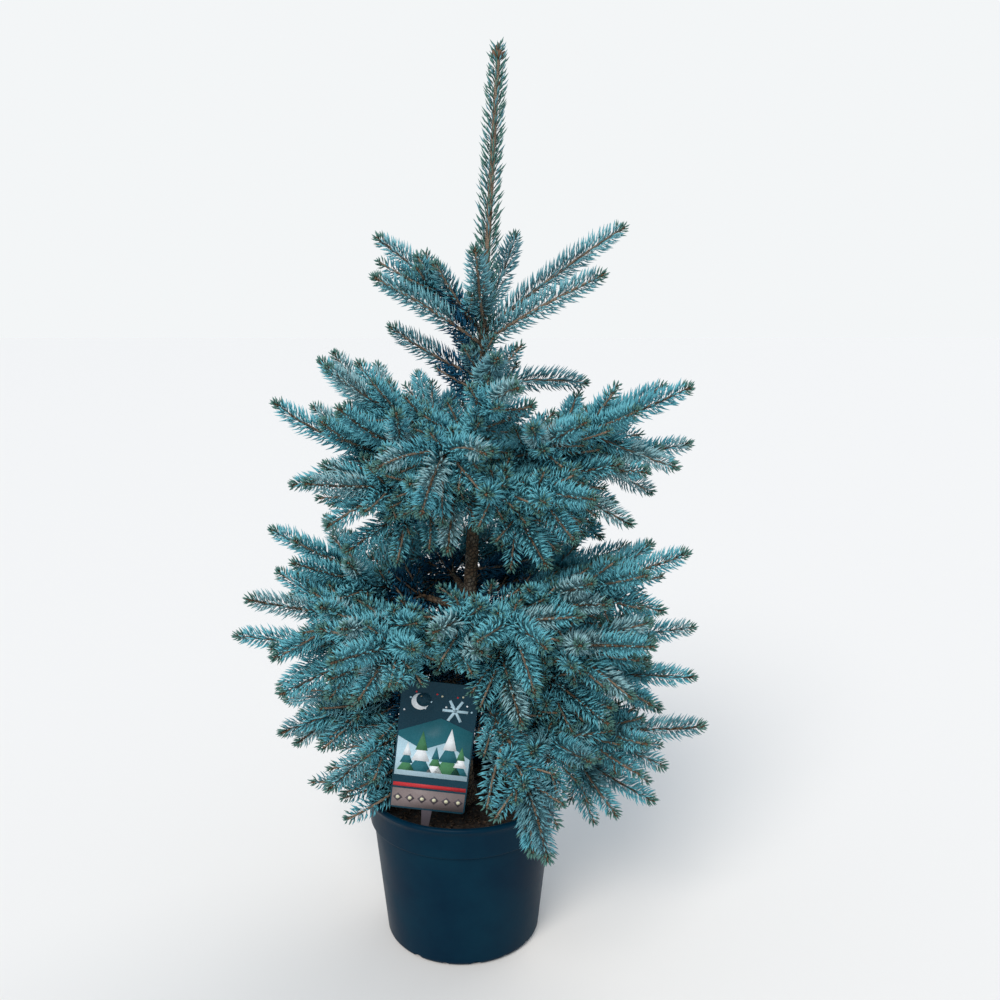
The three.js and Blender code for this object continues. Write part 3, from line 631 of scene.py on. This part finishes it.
# ---------- growth
# The boughs stand in loose whorls, told from the top down, and those of the two lower tiers start
# with a bare limb. A seeded rule lays out every shoot: each finished year ends in a knot of side
# shoots, and finer ones fill in between the knots. Nothing is made here yet.
BOUGH_WORDS = ("height", "azimuth", "rise", "bend", "years", "lift")
WHORLS = {
    "top": [
        (0.700, 9, 40, -8, [0.19], 0), (0.690, -24, 31, -8, [0.152], 0),
        (0.698, 175, 48, -12, [0.07, 0.082], 4), (0.687, 205, 35, -10, [0.138], 0),
        (0.720, 58, 46, 14, [0.108], 0), (0.709, 265, 38, 14, [0.105], 0),
    ],
    "upper": [
        (0.652, 180, 22, 14, [0.11], 0), (0.640, 12, 14, -24, [0.12], 0),
        (0.648, 280, 8, 14, [0.112], 0), (0.646, 100, 16, 16, [0.128], 0),
    ],
    "middle": [
        (0.572, 188, -12, 52, [0.044, 0.066, 0.12], 8), (0.588, 156, -2, 46, [0.044, 0.062, 0.116], 8),
        (0.576, 256, 24, -70, [0.044, 0.076, 0.092], 32), (0.545, 304, -4, 10, [0.05, 0.066, 0.09], 8),
        (0.557, 343, 15, 12, [0.044, 0.084, 0.12], -4), (0.572, 12, -9, 18, [0.044, 0.084, 0.122], 4),
        (0.566, 62, -12, 24, [0.044, 0.07, 0.116], 8), (0.540, 216, -2, 12, [0.05, 0.062, 0.092], 6),
        (0.576, 118, -8, 32, [0.044, 0.066, 0.104], 8),
    ],
    "broad": [
        (0.388, 170, 14, 12, [0.01, 0.078, 0.11], 4), (0.374, 205, 8, 10, [0.01, 0.08, 0.112], 4),
        (0.392, 290, 14, -16, [0.01, 0.076, 0.09], 8), (0.384, 342, 15, 10, [0.01, 0.08, 0.118], 2),
        (0.392, 50, 12, 16, [0.01, 0.078, 0.11], 4), (0.403, 112, 12, 16, [0.01, 0.078, 0.112], 4),
        (0.344, 186, 2, 6, [0.01, 0.084, 0.114], 4), (0.356, 242, 16, -10, [0.01, 0.094, 0.1], 8),
        (0.346, 320, 14, -4, [0.01, 0.082, 0.106], 4), (0.336, 0, 6, 2, [0.01, 0.086, 0.112], 2),
    ],
    "low": [
        (0.304, 192, -4, -16, [0.01, 0.066, 0.088], 2), (0.287, 158, -4, -12, [0.01, 0.08, 0.108], 2),
        (0.290, 290, 18, -70, [0.01, 0.134, 0.08], 6), (0.308, 352, 6, -6, [0.01, 0.088, 0.108], 2),
        (0.292, 56, -2, -12, [0.01, 0.084, 0.112], 2), (0.282, 219, -4, -26, [0.01, 0.056, 0.074], 2),
        (0.282, 343, -14, 28, [0.01, 0.096, 0.116], 2), (0.304, 106, -2, -14, [0.01, 0.084, 0.11], 2),
    ],
}
BARE_TIERS = ("broad", "low")
BARE_LIMB = 0.05
BOUGHS = [
    {"tier": tier, "name": f"{tier}_{count}", "limb": BARE_LIMB if tier in BARE_TIERS else 0,
     **dict(zip(BOUGH_WORDS, row))}
    for tier, rows in WHORLS.items() for count, row in enumerate(rows, 1)]
STEP = 0.012
SHORTEST = 0.068
SIDE_SHARE = 0.78
SPLAY = 44
TILT_SPREAD = 16
FALL = -40
LOW_FALL = -24
LOW_WHORL = 0.310
KNOT = 0.025
MASS_CLEAR = 0.0095
TWIG_CLEAR = 0.006
LIMB_CLEAR = 0.010
POT_CLEAR = 0.006
TAG_CLEAR = 0.009
LOWEST = 0.040
LIMB_STEPS = 3
GAP = 0.0003
FINE_STEP = 0.008
FINE_SPACING = 0.013
FINE_LONGEST = 0.105
FINE_SHORTEST = 0.024
FINE_CLEAR = 0.0055
FINE_MASS_CLEAR = 0.0075
FINE_SPLAY = (28, 56)
FINE_FOOT = 0.014
FINE_BEARING = 0.055
FINEST_LONGEST = 0.045
UPRIGHT_LOSS = 0.45
KNOT_EXTRAS = 5
CARD_VIEW = 0.010
TRUNK_SHOOTS = [
    ("low_6", (0.236, 0.272, 0.0050), (188, 38), (-36, -26), (0.150, 0.180)),
    ("top_1", (0.612, 0.704, 0.0062), (0, 360), (24, 48), (0.036, 0.072)),
    ("broad_10", (0.335, 0.440, 0.0020), (20, 140), (-20, 8), (0.070, 0.120)),
    ("broad_7", (0.315, 0.375, 0.0045), (0, 360), (-14, 14), (0.060, 0.110)),
    ("low_4", (0.215, 0.300, 0.0045), (0, 360), (-10, 12), (0.050, 0.090)),
]
TRUNK_SHOOT_LIFT = 1.5
TRUNK_SHOOT_SEEDS = 5000
GOLDEN_TURN = math.radians(137.5)
into_tag = tag_seat.inverted()


def seeded_random(seed):
    state = (seed * 2654435761) & 0xFFFFFFFF
    while True:
        state = (state * 1664525 + 1013904223) & 0xFFFFFFFF
        yield state / 2 ** 32


def heading(azimuth, rise):
    around, up = math.radians(azimuth), math.radians(rise)
    return np.array([math.cos(around) * math.cos(up), math.sin(around) * math.cos(up), math.sin(up)])


class Wood:
    """All the straight pieces of the shoots laid out so far, kept as arrays that grow."""

    def __init__(self, room=60000):
        self.size = 0
        self.start = np.zeros((room, 3))
        self.span = np.zeros((room, 3))
        self.bough = np.zeros(room, int)

    def add(self, line, bough):
        count = len(line) - 1
        into = slice(self.size, self.size + count)
        self.start[into] = line[:-1]
        self.span[into] = np.diff(line, axis=0)
        self.bough[into] = bough
        self.size += count

    def clear_of(self, point, bough, own_clear, other_clear):
        """True if the point keeps its distance from its own bough's wood and from all others'."""
        span = self.span[:self.size]
        away = point - self.start[:self.size]
        share = np.clip(np.einsum("ij,ij->i", away, span) / np.einsum("ij,ij->i", span, span), 0, 1)
        distance = np.linalg.norm(away - share[:, None] * span, axis=1)
        clear = np.where(self.bough[:self.size] == bough, own_clear, other_clear)
        return bool((distance >= clear).all())


limb_wood = Wood()
shoot_wood = Wood()


def is_blocked(point, bough, near_foot, leaving_trunk, own_clear, other_clear):
    if point[2] < LOWEST:
        return True
    if point[2] < POT_HEIGHT + POT_CLEAR and math.hypot(point[0], point[1]) < RIM_RADIUS + POT_CLEAR:
        return True
    on_tag = into_tag @ Vector(point)
    beside_tag = abs(on_tag.x) < TAG_WIDTH / 2 + TAG_CLEAR and on_tag.z < TAG_HEIGHT + TAG_CLEAR
    if beside_tag and abs(on_tag.y) < TAG_CLEAR:
        return True
    off_trunk = math.hypot(point[0] - trunk_centre(point[2])[0], point[1])
    if not leaving_trunk and off_trunk < trunk_radius(point[2]) + LIMB_CLEAR / 2:
        return True
    if not limb_wood.clear_of(point, bough, 0 if near_foot else LIMB_CLEAR, LIMB_CLEAR):
        return True
    return not shoot_wood.clear_of(point, bough, 0 if near_foot else own_clear, other_clear)


def walk_shoot(plan):
    """Walks one shoot until it is as long as its years or meets something. Gives its line, where
    each year ended on it and the side shoots that its knots are to bear."""
    bough, order, years, rise = plan["bough"], plan["order"], plan["years"], plan["rise"]
    chance = seeded_random(plan["seed"])
    length = sum(years)
    fall = LOW_FALL if BOUGHS[bough]["height"] < LOW_WHORL else FALL
    line = [plan["start"]]
    knots, side_shoots = [], []
    gone = 0.0
    for index, year in enumerate(years):
        steps = max(1, math.floor(year / STEP + 0.5 + 1e-6))
        for k in range(steps):
            here = rise + plan["bend"] * (gone + year * (k + 0.5) / steps) / length
            point = line[-1] + heading(plan["azimuth"], here) * year / steps
            walked = gone + year * (k + 1) / steps
            leaving_trunk = order == 0 and BOUGHS[bough]["limb"] == 0 and walked <= KNOT
            if is_blocked(point, bough, walked < KNOT, leaving_trunk, TWIG_CLEAR, MASS_CLEAR):
                return line, knots, side_shoots, walked
            line.append(point)
        gone += year
        rest = years[index + 1:]
        if not rest:
            break
        knots.append(gone)
        here = rise + plan["bend"] * gone / length
        for turn in (1, -1, 0) if order == 0 else (1, -1):
            share = SIDE_SHARE * (0.88 + 0.24 * next(chance))
            angle = SPLAY * (0.85 + 0.3 * next(chance))
            tilt = plan["lift"] + TILT_SPREAD * (next(chance) - 0.5)
            side_shoots.append({
                "bough": bough, "order": order + 1, "start": line[-1],
                "azimuth": plan["azimuth"] + (turn * angle if turn else angle - SPLAY),
                "rise": here + (tilt if turn else fall + tilt - plan["lift"]),
                "bend": plan["bend"] / 2, "years": [later * share for later in rest],
                "lift": plan["lift"] / 2, "seed": plan["seed"] * 8 + index * 3 + turn + 2,
            })
    return line, knots, side_shoots, gone


limbs, shoots, waiting = [], [], []
for index, bough in enumerate(BOUGHS):
    azimuth, rise, bend, limb = bough["azimuth"], bough["rise"], bough["bend"], bough["limb"]
    whole = limb + sum(bough["years"])
    start = trunk_centre(bough["height"])
    if limb > 0:
        line = [start]
        for k in range(LIMB_STEPS):
            here = rise + bend * limb * (k + 0.5) / LIMB_STEPS / whole
            line.append(line[-1] + heading(azimuth, here) * limb / LIMB_STEPS)
        limb_wood.add(np.array(line), index)
        limbs.append({"bough": index, "line": np.array(line)})
        start = line[-1] + heading(azimuth, rise + bend * limb / whole) * GAP
    waiting.append({
        "bough": index, "order": 0, "start": start, "azimuth": azimuth, "rise": rise + bend * limb / whole,
        "bend": bend * (whole - limb) / whole, "years": bough["years"], "lift": bough["lift"],
        "seed": index + 11,
    })
while waiting:
    plan = waiting.pop(0)
    if plan["years"][-1] < SHORTEST:
        continue
    line, knots, side_shoots, walked = walk_shoot(plan)
    if walked < SHORTEST:
        continue
    shoot_wood.add(np.array(line), plan["bough"])
    shoots.append({**plan, "line": np.array(line), "knots": knots})
    waiting += side_shoots


def line_lengths(line):
    return np.concatenate([[0], np.cumsum(np.linalg.norm(np.diff(line, axis=0), axis=1))])


def along_line(line, distances):
    """Points at the given distances along a line."""
    gone = line_lengths(line)
    return np.stack([np.interp(distances, gone, line[:, i]) for i in range(3)], 1)


def unit(ways):
    return ways / np.linalg.norm(ways, axis=1, keepdims=True)


def square_to(along):
    """Two directions square to each of the given ones, the second as far up as it can be."""
    reference = np.where(np.abs(along[:, 2:]) > 0.9, [[0.0, -1.0, 0.0]], [[0.0, 0.0, 1.0]])
    side = unit(np.cross(reference, along))
    return side, np.cross(along, side)


def hides_card(point):
    on_tag = into_tag @ Vector(point)
    return abs(on_tag.x) < TAG_WIDTH / 2 + CARD_VIEW and -0.2 < on_tag.y < 0 and 0 < on_tag.z < TAG_HEIGHT


def keep_fine(bough, wood, order, line, seed):
    """Keeps a fine shoot that found room enough, as a list of one, or drops it."""
    if (len(line) - 1) * FINE_STEP < FINE_SHORTEST:
        return []
    shoot_wood.add(np.array(line), wood)
    return [{"bough": bough, "order": order, "line": np.array(line), "knots": [], "seed": seed, "fine": True}]


def fine_shoot(parent, place, turn, longest, chance):
    """One short shoot from a place on its parent's line. Turn is an angle in degrees: 0 and 180 are
    the parent's level sides and 90 is above it."""
    bough = parent["bough"]
    foot, ahead = along_line(parent["line"], [place, place + 0.004])
    along = (ahead - foot) / np.linalg.norm(ahead - foot)
    side, up = (v[0] for v in square_to(along[None]))
    splay = math.radians(chance.uniform(*FINE_SPLAY))
    round_it = math.radians(turn)
    longest *= 1 - UPRIGHT_LOSS * max(0.0, math.sin(round_it))
    way = along * math.cos(splay) + (side * math.cos(round_it) + up * math.sin(round_it)) * math.sin(splay)
    line = [foot]
    while len(line) * FINE_STEP < longest:
        near_foot = len(line) * FINE_STEP < FINE_FOOT
        point = line[-1] + way * FINE_STEP
        if is_blocked(point, bough, near_foot, False, FINE_CLEAR, FINE_MASS_CLEAR) or hides_card(point):
            break
        line.append(point)
        way = way + along * 0.03 + np.array([0, 0, 0.02])
        way /= np.linalg.norm(way)
    return keep_fine(bough, bough, parent["order"] + 1, line, parent["seed"] * 16 + round(place * 1000))


def fine_shoots(parent, at_knots):
    """Short shoots round the knots of a parent, or along its older wood between them."""
    made = []
    chance = np.random.default_rng(parent["seed"] + (90 if at_knots else 91))
    whole = line_lengths(parent["line"])[-1]
    if at_knots:
        for knot in parent["knots"]:
            for extra in range(KNOT_EXTRAS):
                turn = 360 * (extra + 0.3 + chance.uniform(0, 0.4)) / KNOT_EXTRAS
                longest = min(FINE_LONGEST, 0.9 * (whole - knot)) * chance.uniform(0.75, 1.0)
                made += fine_shoot(parent, knot - 0.001 * extra, turn, longest, chance)
        return made
    older = parent["knots"][-1] if parent["knots"] else 0.55 * whole
    place, turn = FINE_FOOT, 0
    while place < min(older, whole - 0.03):
        longest = min(FINE_LONGEST, 0.8 * (whole - place)) * chance.uniform(0.65, 1.0)
        if "fine" in parent:
            longest = min(longest, FINEST_LONGEST)
        made += fine_shoot(parent, place, turn + chance.uniform(-50, 50), longest, chance)
        turn = 180 - turn
        place += FINE_SPACING * chance.uniform(0.8, 1.2)
    return made


def trunk_shoots():
    """Thin short shoots straight from the trunk, between its whorls of boughs."""
    made = []
    chance = np.random.default_rng(7)
    names = [bough["name"] for bough in BOUGHS]
    for beside, span, (first, arc), rises, lengths in TRUNK_SHOOTS:
        for index, height in enumerate(np.arange(*span)):
            azimuth = first + math.degrees(index * GOLDEN_TURN) % arc
            rise = chance.uniform(*rises)
            length = chance.uniform(*lengths)
            line = [trunk_centre(height) + heading(azimuth, rise) * trunk_radius(height) * 0.8]
            while len(line) * FINE_STEP < length:
                point = line[-1] + heading(azimuth, rise) * FINE_STEP
                if not shoot_wood.clear_of(point, -1, FINE_CLEAR, FINE_CLEAR):
                    break
                line.append(point)
                rise += TRUNK_SHOOT_LIFT
            made += keep_fine(names.index(beside), -1, 1, line, TRUNK_SHOOT_SEEDS + len(made))
    return made


knotted = [parent for parent in shoots if parent["knots"]]
shoots += trunk_shoots()
for at_knots in (True, False):
    for parent in knotted:
        shoots += fine_shoots(parent, at_knots)
for parent in [shoot for shoot in shoots if "fine" in shoot]:
    if line_lengths(parent["line"])[-1] > FINE_BEARING:
        shoots += fine_shoots(parent, False)

# ---------- boughs and twigs
# Under the needles each bough is one tapering limb that runs on as its main stem, and lighter twigs
# leave it. Wood older than a year is grey-brown and scaly, and the last year's shoots are tan.
TIP_RADIUS = 0.0011
STEM_GAIN = 0.0075
SIDE_GAIN = 0.0060
STEM_THICKEST = 0.0040
LIMB_RADII = (0.0046, 0.0036)
LIMB_STEP = 0.003
LIMB_RELIEF = 0.0009
SHOOT_STEP = 0.012


def smooth_line(line, spacing):
    whole = line_lengths(line)[-1]
    return along_line(line, np.linspace(0, whole, max(3, round(whole / spacing) + 1)))


def stem_radii(line, order):
    left = line_lengths(line)[-1] - line_lengths(line)
    return np.minimum(TIP_RADIUS + (STEM_GAIN if order == 0 else SIDE_GAIN) * left, STEM_THICKEST)


for tier in BARE_TIERS:
    lines, nodes = [], []
    for limb in limbs:
        if BOUGHS[limb["bough"]]["tier"] == tier:
            line = smooth_line(limb["line"], LIMB_STEP)
            lines.append((line, np.linspace(*LIMB_RADII, len(line))))
            nodes.append(BOUGHS[limb["bough"]]["name"].replace("_", "_bough_"))
    wood = stems(tier + "_boughs", lines, 6)
    roughen(wood, scales, LIMB_RELIEF)
    wood.data.materials.append(old_bark)
    finish_piece(wood, tier + "_boughs", "bark", *nodes)

tier_shoots = {tier: [s for s in shoots if BOUGHS[s["bough"]]["tier"] == tier] for tier in WHORLS}
for tier, members in tier_shoots.items():
    for age, material in (("old", old_bark), ("young", young_bark)):
        lines = []
        for shoot in members:
            if bool(shoot["knots"]) == (age == "old"):
                line = smooth_line(shoot["line"], SHOOT_STEP)
                lines.append((line, stem_radii(line, shoot["order"])))
        if lines:
            wood = stems(f"{tier}_{age}_twigs", lines, 1)
            wood.data.materials.append(material)
            finish_piece(wood, f"{tier}_{age}_twigs", "bark")

# ---------- buds
# Each shoot ends in a plump pointed bud of papery tan scales, and strong shoots carry a smaller one
# on each side of it. The leader's tip has a cluster.
BUD_LENGTH = 0.0062
BUD_RADIUS = 0.0019
BUD_RINGS = ((0.0, 0.55), (0.35, 1.0), (0.75, 0.6))
BUD_SIDES = 5
FINE_BUD_SIZE = 0.75
SIDE_BUD_SIZE = 0.7
SIDE_BUD_LEAN = 0.9
END_BUD_SIZE = 2.3
END_BUD_SEAT = 0.013
CLUSTER_BUDS = 5
CLUSTER_SEAT = 0.015
CLUSTER_LEAN = 0.75
CLUSTER_SIZE = 1.6
LEADER_BUDS = 9
LEADER_BUD_PITCH = 0.026
LEADER_LEAN = 1.1
LEADER_SIZE = 1.1
BUD_TAN = (0.200, 0.105, 0.050, 1)
BUD_DARK = (0.070, 0.035, 0.020, 1)

bud_scales = speckled(
    "bud_scales", (BUD_TAN, BUD_DARK), (700, 1500), (0.55, 0.55), 0.4, (0.5, 0.0003))


def buds_at(seats, along, sizes):
    """Points and faces of five-sided buds."""
    side, up = square_to(along)
    rings = []
    for reach, girth in BUD_RINGS:
        for corner in range(BUD_SIDES):
            angle = 2 * math.pi * corner / BUD_SIDES
            out = side * math.cos(angle) + up * math.sin(angle)
            rings.append(seats + sizes[:, None] * (along * BUD_LENGTH * reach + out * BUD_RADIUS * girth))
    rings.append(seats + sizes[:, None] * along * BUD_LENGTH)
    points = np.stack(rings, 1)
    count = points.shape[1]
    corner = np.arange(BUD_SIDES)
    after = (corner + 1) % BUD_SIDES
    wall = np.stack([corner, after, after + BUD_SIDES, corner + BUD_SIDES], 1)
    last = count - 1 - BUD_SIDES
    faces = [
        np.concatenate([wall + ring * BUD_SIDES for ring in range(len(BUD_RINGS) - 1)]),
        np.stack([corner + last, after + last, np.full(BUD_SIDES, count - 1)], 1),
        corner[None, ::-1],
    ]
    first = np.arange(len(seats))[:, None, None] * count
    return points.reshape(-1, 3), [(first + group).reshape(-1, group.shape[1]) for group in faces]


bud_rows = []
for shoot in shoots:
    fine = "fine" in shoot
    end = shoot["line"][-1]
    way = (end - shoot["line"][-2]) / np.linalg.norm(end - shoot["line"][-2])
    side, up = (v[0] for v in square_to(way[None]))
    bud_rows.append((end - way * 0.002, way, FINE_BUD_SIZE if fine else 1.0))
    if not fine and shoot["order"] < 2:
        for turn in (1, -1):
            bud_rows.append((end - way * 0.004, way + SIDE_BUD_LEAN * turn * side, SIDE_BUD_SIZE))
bud_rows.append((trunk_centre(TREE_TOP - END_BUD_SEAT), np.array([0.0, 0.0, 1.0]), END_BUD_SIZE))
for index in range(CLUSTER_BUDS + LEADER_BUDS):
    in_cluster = index < CLUSTER_BUDS
    angle = 2 * math.pi * index / CLUSTER_BUDS if in_cluster else GOLDEN_TURN * index
    below = CLUSTER_SEAT if in_cluster else CLUSTER_SEAT + LEADER_BUD_PITCH * (index - CLUSTER_BUDS + 1)
    height = TREE_TOP - below
    out = np.array([math.cos(angle), math.sin(angle), 0.0])
    way = out * (CLUSTER_LEAN if in_cluster else LEADER_LEAN) + np.array([0.0, 0.0, 1.0])
    seat = trunk_centre(height) + out * 0.6 * trunk_radius(height)
    bud_rows.append((seat, way, CLUSTER_SIZE if in_cluster else LEADER_SIZE))
bud_seats, bud_ways, bud_sizes = (np.array(column) for column in zip(*bud_rows))
buds = mesh_piece("buds", *buds_at(bud_seats, unit(bud_ways), bud_sizes))
buds.data.shade_smooth()
buds.data.materials.append(bud_scales)
finish_piece(buds, "buds", "bark")

# ---------- needles
# Stiff square needles stand all round each shoot on small pegs, those underneath swept up and the
# ones at its tip short and close. A blue-white wax covers them, thickest on the youngest. Each spray,
# a stretch of one shoot, is dealt one of its tier's four tints. Needles close to the trunk in the
# inner crown get a dark navy tint instead, which is painted shade.
NEEDLE_LENGTH = 0.0225
NEEDLE_RADIUS = 0.00105
NEEDLE_WIDEST = 0.62
NEEDLE_PITCH = 1 / 2250
FINE_PITCH = 1 / 1350
NEEDLE_FACES = 6
PIECE_LIMIT = 190000
TRUNK_BARE = 0.012
FORK_BARE = 0.003
FINE_NEEDLES = 0.92
SPRAY = 0.045
TIP_SPRAY = 0.009
LEAN_BY_TIP = ([0, 0.006, 0.02, 0.2], [32, 56, 60, 64])
LENGTH_BY_TIP = ([0, 0.010, 0.03, 0.07], [0.42, 0.68, 0.88, 1.0])
# Reach from the trunk, by height, within which needles take the painted shade tint. Old needles there are
# also thinned out.
SHADE_BY_HEIGHT = ([0.2, 0.45, 0.55, 0.7], [0.085, 0.080, 0.040, 0.015])
TINTS = {
    "frost": (0.272, 0.465, 0.492, 1),
    "blue": (0.178, 0.418, 0.465, 1),
    "sea": (0.105, 0.365, 0.430, 1),
    "slate": (0.120, 0.290, 0.330, 1),
    "teal": (0.138, 0.438, 0.502, 1),
    # The next tint is painted shade: a dark navy for needles inside the crown.
    "painted_shade": (0.006, 0.085, 0.160, 1),
    "tip": (0.080, 0.190, 0.160, 1),
}
FROST, BLUE, SEA, SLATE, TEAL, PAINTED_SHADE, TIP = range(7)
DEALT = {
    "top": [BLUE, BLUE, SLATE, SLATE],
    "upper": [FROST, BLUE, SLATE, SLATE],
    "middle": [FROST, TEAL, TEAL, SEA],
    "broad": [FROST, TEAL, TEAL, TEAL],
    "low": [BLUE, TEAL, SEA, SLATE],
}
needle_materials = [
    speckled("needles_" + name, (colour, paler(colour, 1.16, 0.012)), (260, 1600), (0.50, 0.66), 0.16)
    for name, colour in TINTS.items()]


def needles_along(shoot):
    """Where a shoot's needles stand: seats, two ways (at the seat and at the point), lengths, tints
    and the way of the shoot."""
    line, fine, bough = shoot["line"], "fine" in shoot, BOUGHS[shoot["bough"]]
    whole = line_lengths(line)[-1]
    chance = np.random.default_rng(shoot["seed"] + 400)
    bare = TRUNK_BARE if shoot["order"] == 0 and bough["limb"] == 0 else FORK_BARE
    pitch = FINE_PITCH if fine else NEEDLE_PITCH
    places = np.arange(bare, whole + 0.0008, pitch)
    count = len(places)
    places += chance.uniform(-0.4, 0.4, count) * pitch
    seats = along_line(line, places)
    ahead = along_line(line, np.minimum(places + 0.006, whole))
    behind = along_line(line, np.maximum(places - 0.006, 0))
    along = unit(ahead - behind)
    side, up = square_to(along)
    angle = np.arange(count) * GOLDEN_TURN + chance.uniform(-0.35, 0.35, count)
    low = np.maximum(0, -np.sin(angle))[:, None]
    out = unit(side * np.cos(angle)[:, None] + up * (np.sin(angle)[:, None] * (1 - 0.30 * low) + 0.10))
    to_tip = whole - places
    lean = np.radians(np.interp(to_tip, *LEAN_BY_TIP) + chance.uniform(-8, 8, count))
    way = along * np.cos(lean)[:, None] + out * np.sin(lean)[:, None]
    end_way = unit(way + 0.32 * along + 0.12 * up)
    lengths = NEEDLE_LENGTH * np.interp(to_tip, *LENGTH_BY_TIP)
    lengths *= np.interp(places, [0, 0.02], [0.75, 1.0]) * (1 - 0.14 * low[:, 0])
    lengths *= chance.uniform(0.85, 1.06, count) * (FINE_NEEDLES if fine else 1)
    older = places < (shoot["knots"][-1] if shoot["knots"] else 0.0)
    shaded = np.hypot(seats[:, 0], seats[:, 1]) < np.interp(seats[:, 2], *SHADE_BY_HEIGHT)
    sprays = (places / SPRAY).astype(int)
    dealt = DEALT[bough["tier"]]
    tints = chance.choice(dealt, int(sprays.max()) + 1)[sprays]
    tints = np.where((older | fine) & (tints == FROST), dealt[1], tints)
    tints = np.where((older | fine) & (tints == BLUE), SEA, tints)
    tints = np.where(to_tip < TIP_SPRAY, TIP, tints)
    # Needles near the trunk take the dark tint: painted shade for the inside of the crown.
    tints = np.where(shaded, PAINTED_SHADE, tints)
    keep = chance.uniform(0, 1, count) < np.where(shaded & older, 0.35, np.where(older, 0.8, 1.0))
    return [column[keep] for column in (seats, way, end_way, lengths, tints, along)]


def stands_clear(seats, ends):
    """Which needles keep out of the pot, the compost, the card and the trunk."""
    clear = np.ones(len(seats), bool)
    for share in (0.35, 0.7, 1.0):
        point = seats + (ends - seats) * share
        spread = np.hypot(point[:, 0], point[:, 1])
        clear &= ~((point[:, 2] < POT_HEIGHT + 0.001) & (spread < RIM_RADIUS + 0.001))
        on_tag = point @ np.array(into_tag)[:3, :3].T + np.array(into_tag)[:3, 3]
        card_wide = np.abs(on_tag[:, 0]) < TAG_WIDTH / 2 + 0.001
        card_high = on_tag[:, 2] < TAG_HEIGHT + 0.001
        clear &= ~(card_wide & card_high & (np.abs(on_tag[:, 1]) < 0.002))
        lean = TRUNK_LEAN * np.clip((point[:, 2] - SOIL_TOP) / (TREE_TOP - SOIL_TOP), 0, 1) ** 1.2
        girth = np.interp(point[:, 2], [SOIL_TOP, LEADER_FOOT], [SOIL_RADIUS, OLD_WOOD_TOP])
        clear &= np.hypot(point[:, 0] - lean, point[:, 1]) > girth + 0.001
    return clear


def needle_piece(name, needles, *nodes):
    """One piece of three-sided needles, widest and a little bent at their middles and sharp at both
    ends, with their feet sunk in the wood."""
    seats, way, end_way, lengths, tints, along = needles
    middles = seats + way * (lengths * NEEDLE_WIDEST)[:, None]
    ends = middles + end_way * (lengths * (1 - NEEDLE_WIDEST))[:, None]
    first = unit(np.cross(way, along))
    second = np.cross(way, first)
    corners = [seats]
    for corner in range(3):
        angle = 2 * math.pi * corner / 3 + math.pi / 2
        out = first * math.cos(angle) + second * math.sin(angle)
        corners.append(middles + out * NEEDLE_RADIUS)
    points = np.stack([*corners, ends], 1)
    base = np.arange(len(seats))[:, None, None] * 5
    spike = np.array([[0, 2, 1], [0, 3, 2], [0, 1, 3], [1, 2, 4], [2, 3, 4], [3, 1, 4]])
    faces = [(base + spike).reshape(-1, 3)]
    piece = mesh_piece(name, points.reshape(-1, 3), faces, np.repeat(tints, NEEDLE_FACES))
    for material in needle_materials:
        piece.data.materials.append(material)
    finish_piece(piece, name, "needles", *nodes)


for tier, members in tier_shoots.items():
    grown = [np.concatenate(column) for column in zip(*[needles_along(shoot) for shoot in members])]
    kept = stands_clear(grown[0], grown[0] + grown[1] * grown[3][:, None])
    grown = [column[kept] for column in grown]
    nodes = [b["name"].replace("_", "_mass_") for b in BOUGHS if b["tier"] == tier]
    parts = math.ceil(len(grown[0]) * NEEDLE_FACES / PIECE_LIMIT)
    for part in range(parts):
        share = [column[len(column) * part // parts:len(column) * (part + 1) // parts] for column in grown]
        needle_piece(f"{tier}_needles_{part + 1}", share, *(nodes if part == 0 else ()))

# The leader's needles stand closer to their stem and point up, and the year below it keeps a few.
OLDEST_NEEDLES = 0.60
OLD_PITCH = 1 / 1500
LEADER_PITCH = 1 / 1800
LEADER_LENGTHS = (
    [OLDEST_NEEDLES, LEADER_FOOT, 0.80, 0.94, TREE_TOP], [0.018, 0.022, 0.020, 0.0165, 0.0115])


def leader_needles():
    """The leader's needles, as columns like those of needles_along."""
    places = np.concatenate([
        np.arange(OLDEST_NEEDLES, LEADER_FOOT, OLD_PITCH),
        np.arange(LEADER_FOOT, TREE_TOP - 0.004, LEADER_PITCH),
    ])
    count = len(places)
    chance = np.random.default_rng(77)
    angle = np.arange(count) * GOLDEN_TURN + chance.uniform(-0.3, 0.3, count)
    out = np.stack([np.cos(angle), np.sin(angle), np.zeros(count)], 1)
    lean = np.radians(chance.uniform(32, 56, count))[:, None]
    way = out * np.sin(lean) + np.array([0, 0, 1]) * np.cos(lean)
    end_way = unit(way + np.array([0, 0, 0.35]))
    lengths = np.interp(places, *LEADER_LENGTHS) * chance.uniform(0.85, 1.08, count)
    tints = chance.choice([SLATE, TIP, TIP, TIP], count)
    seats = np.array([trunk_centre(h) + o * 0.8 * trunk_radius(h) for h, o in zip(places, out)])
    return seats, way, end_way, lengths, tints, np.tile([0.0, 0.0, 1.0], (count, 1))


needle_piece("leader_shoot_needles", leader_needles(), "leader_needles")

# ---------- size
low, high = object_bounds()
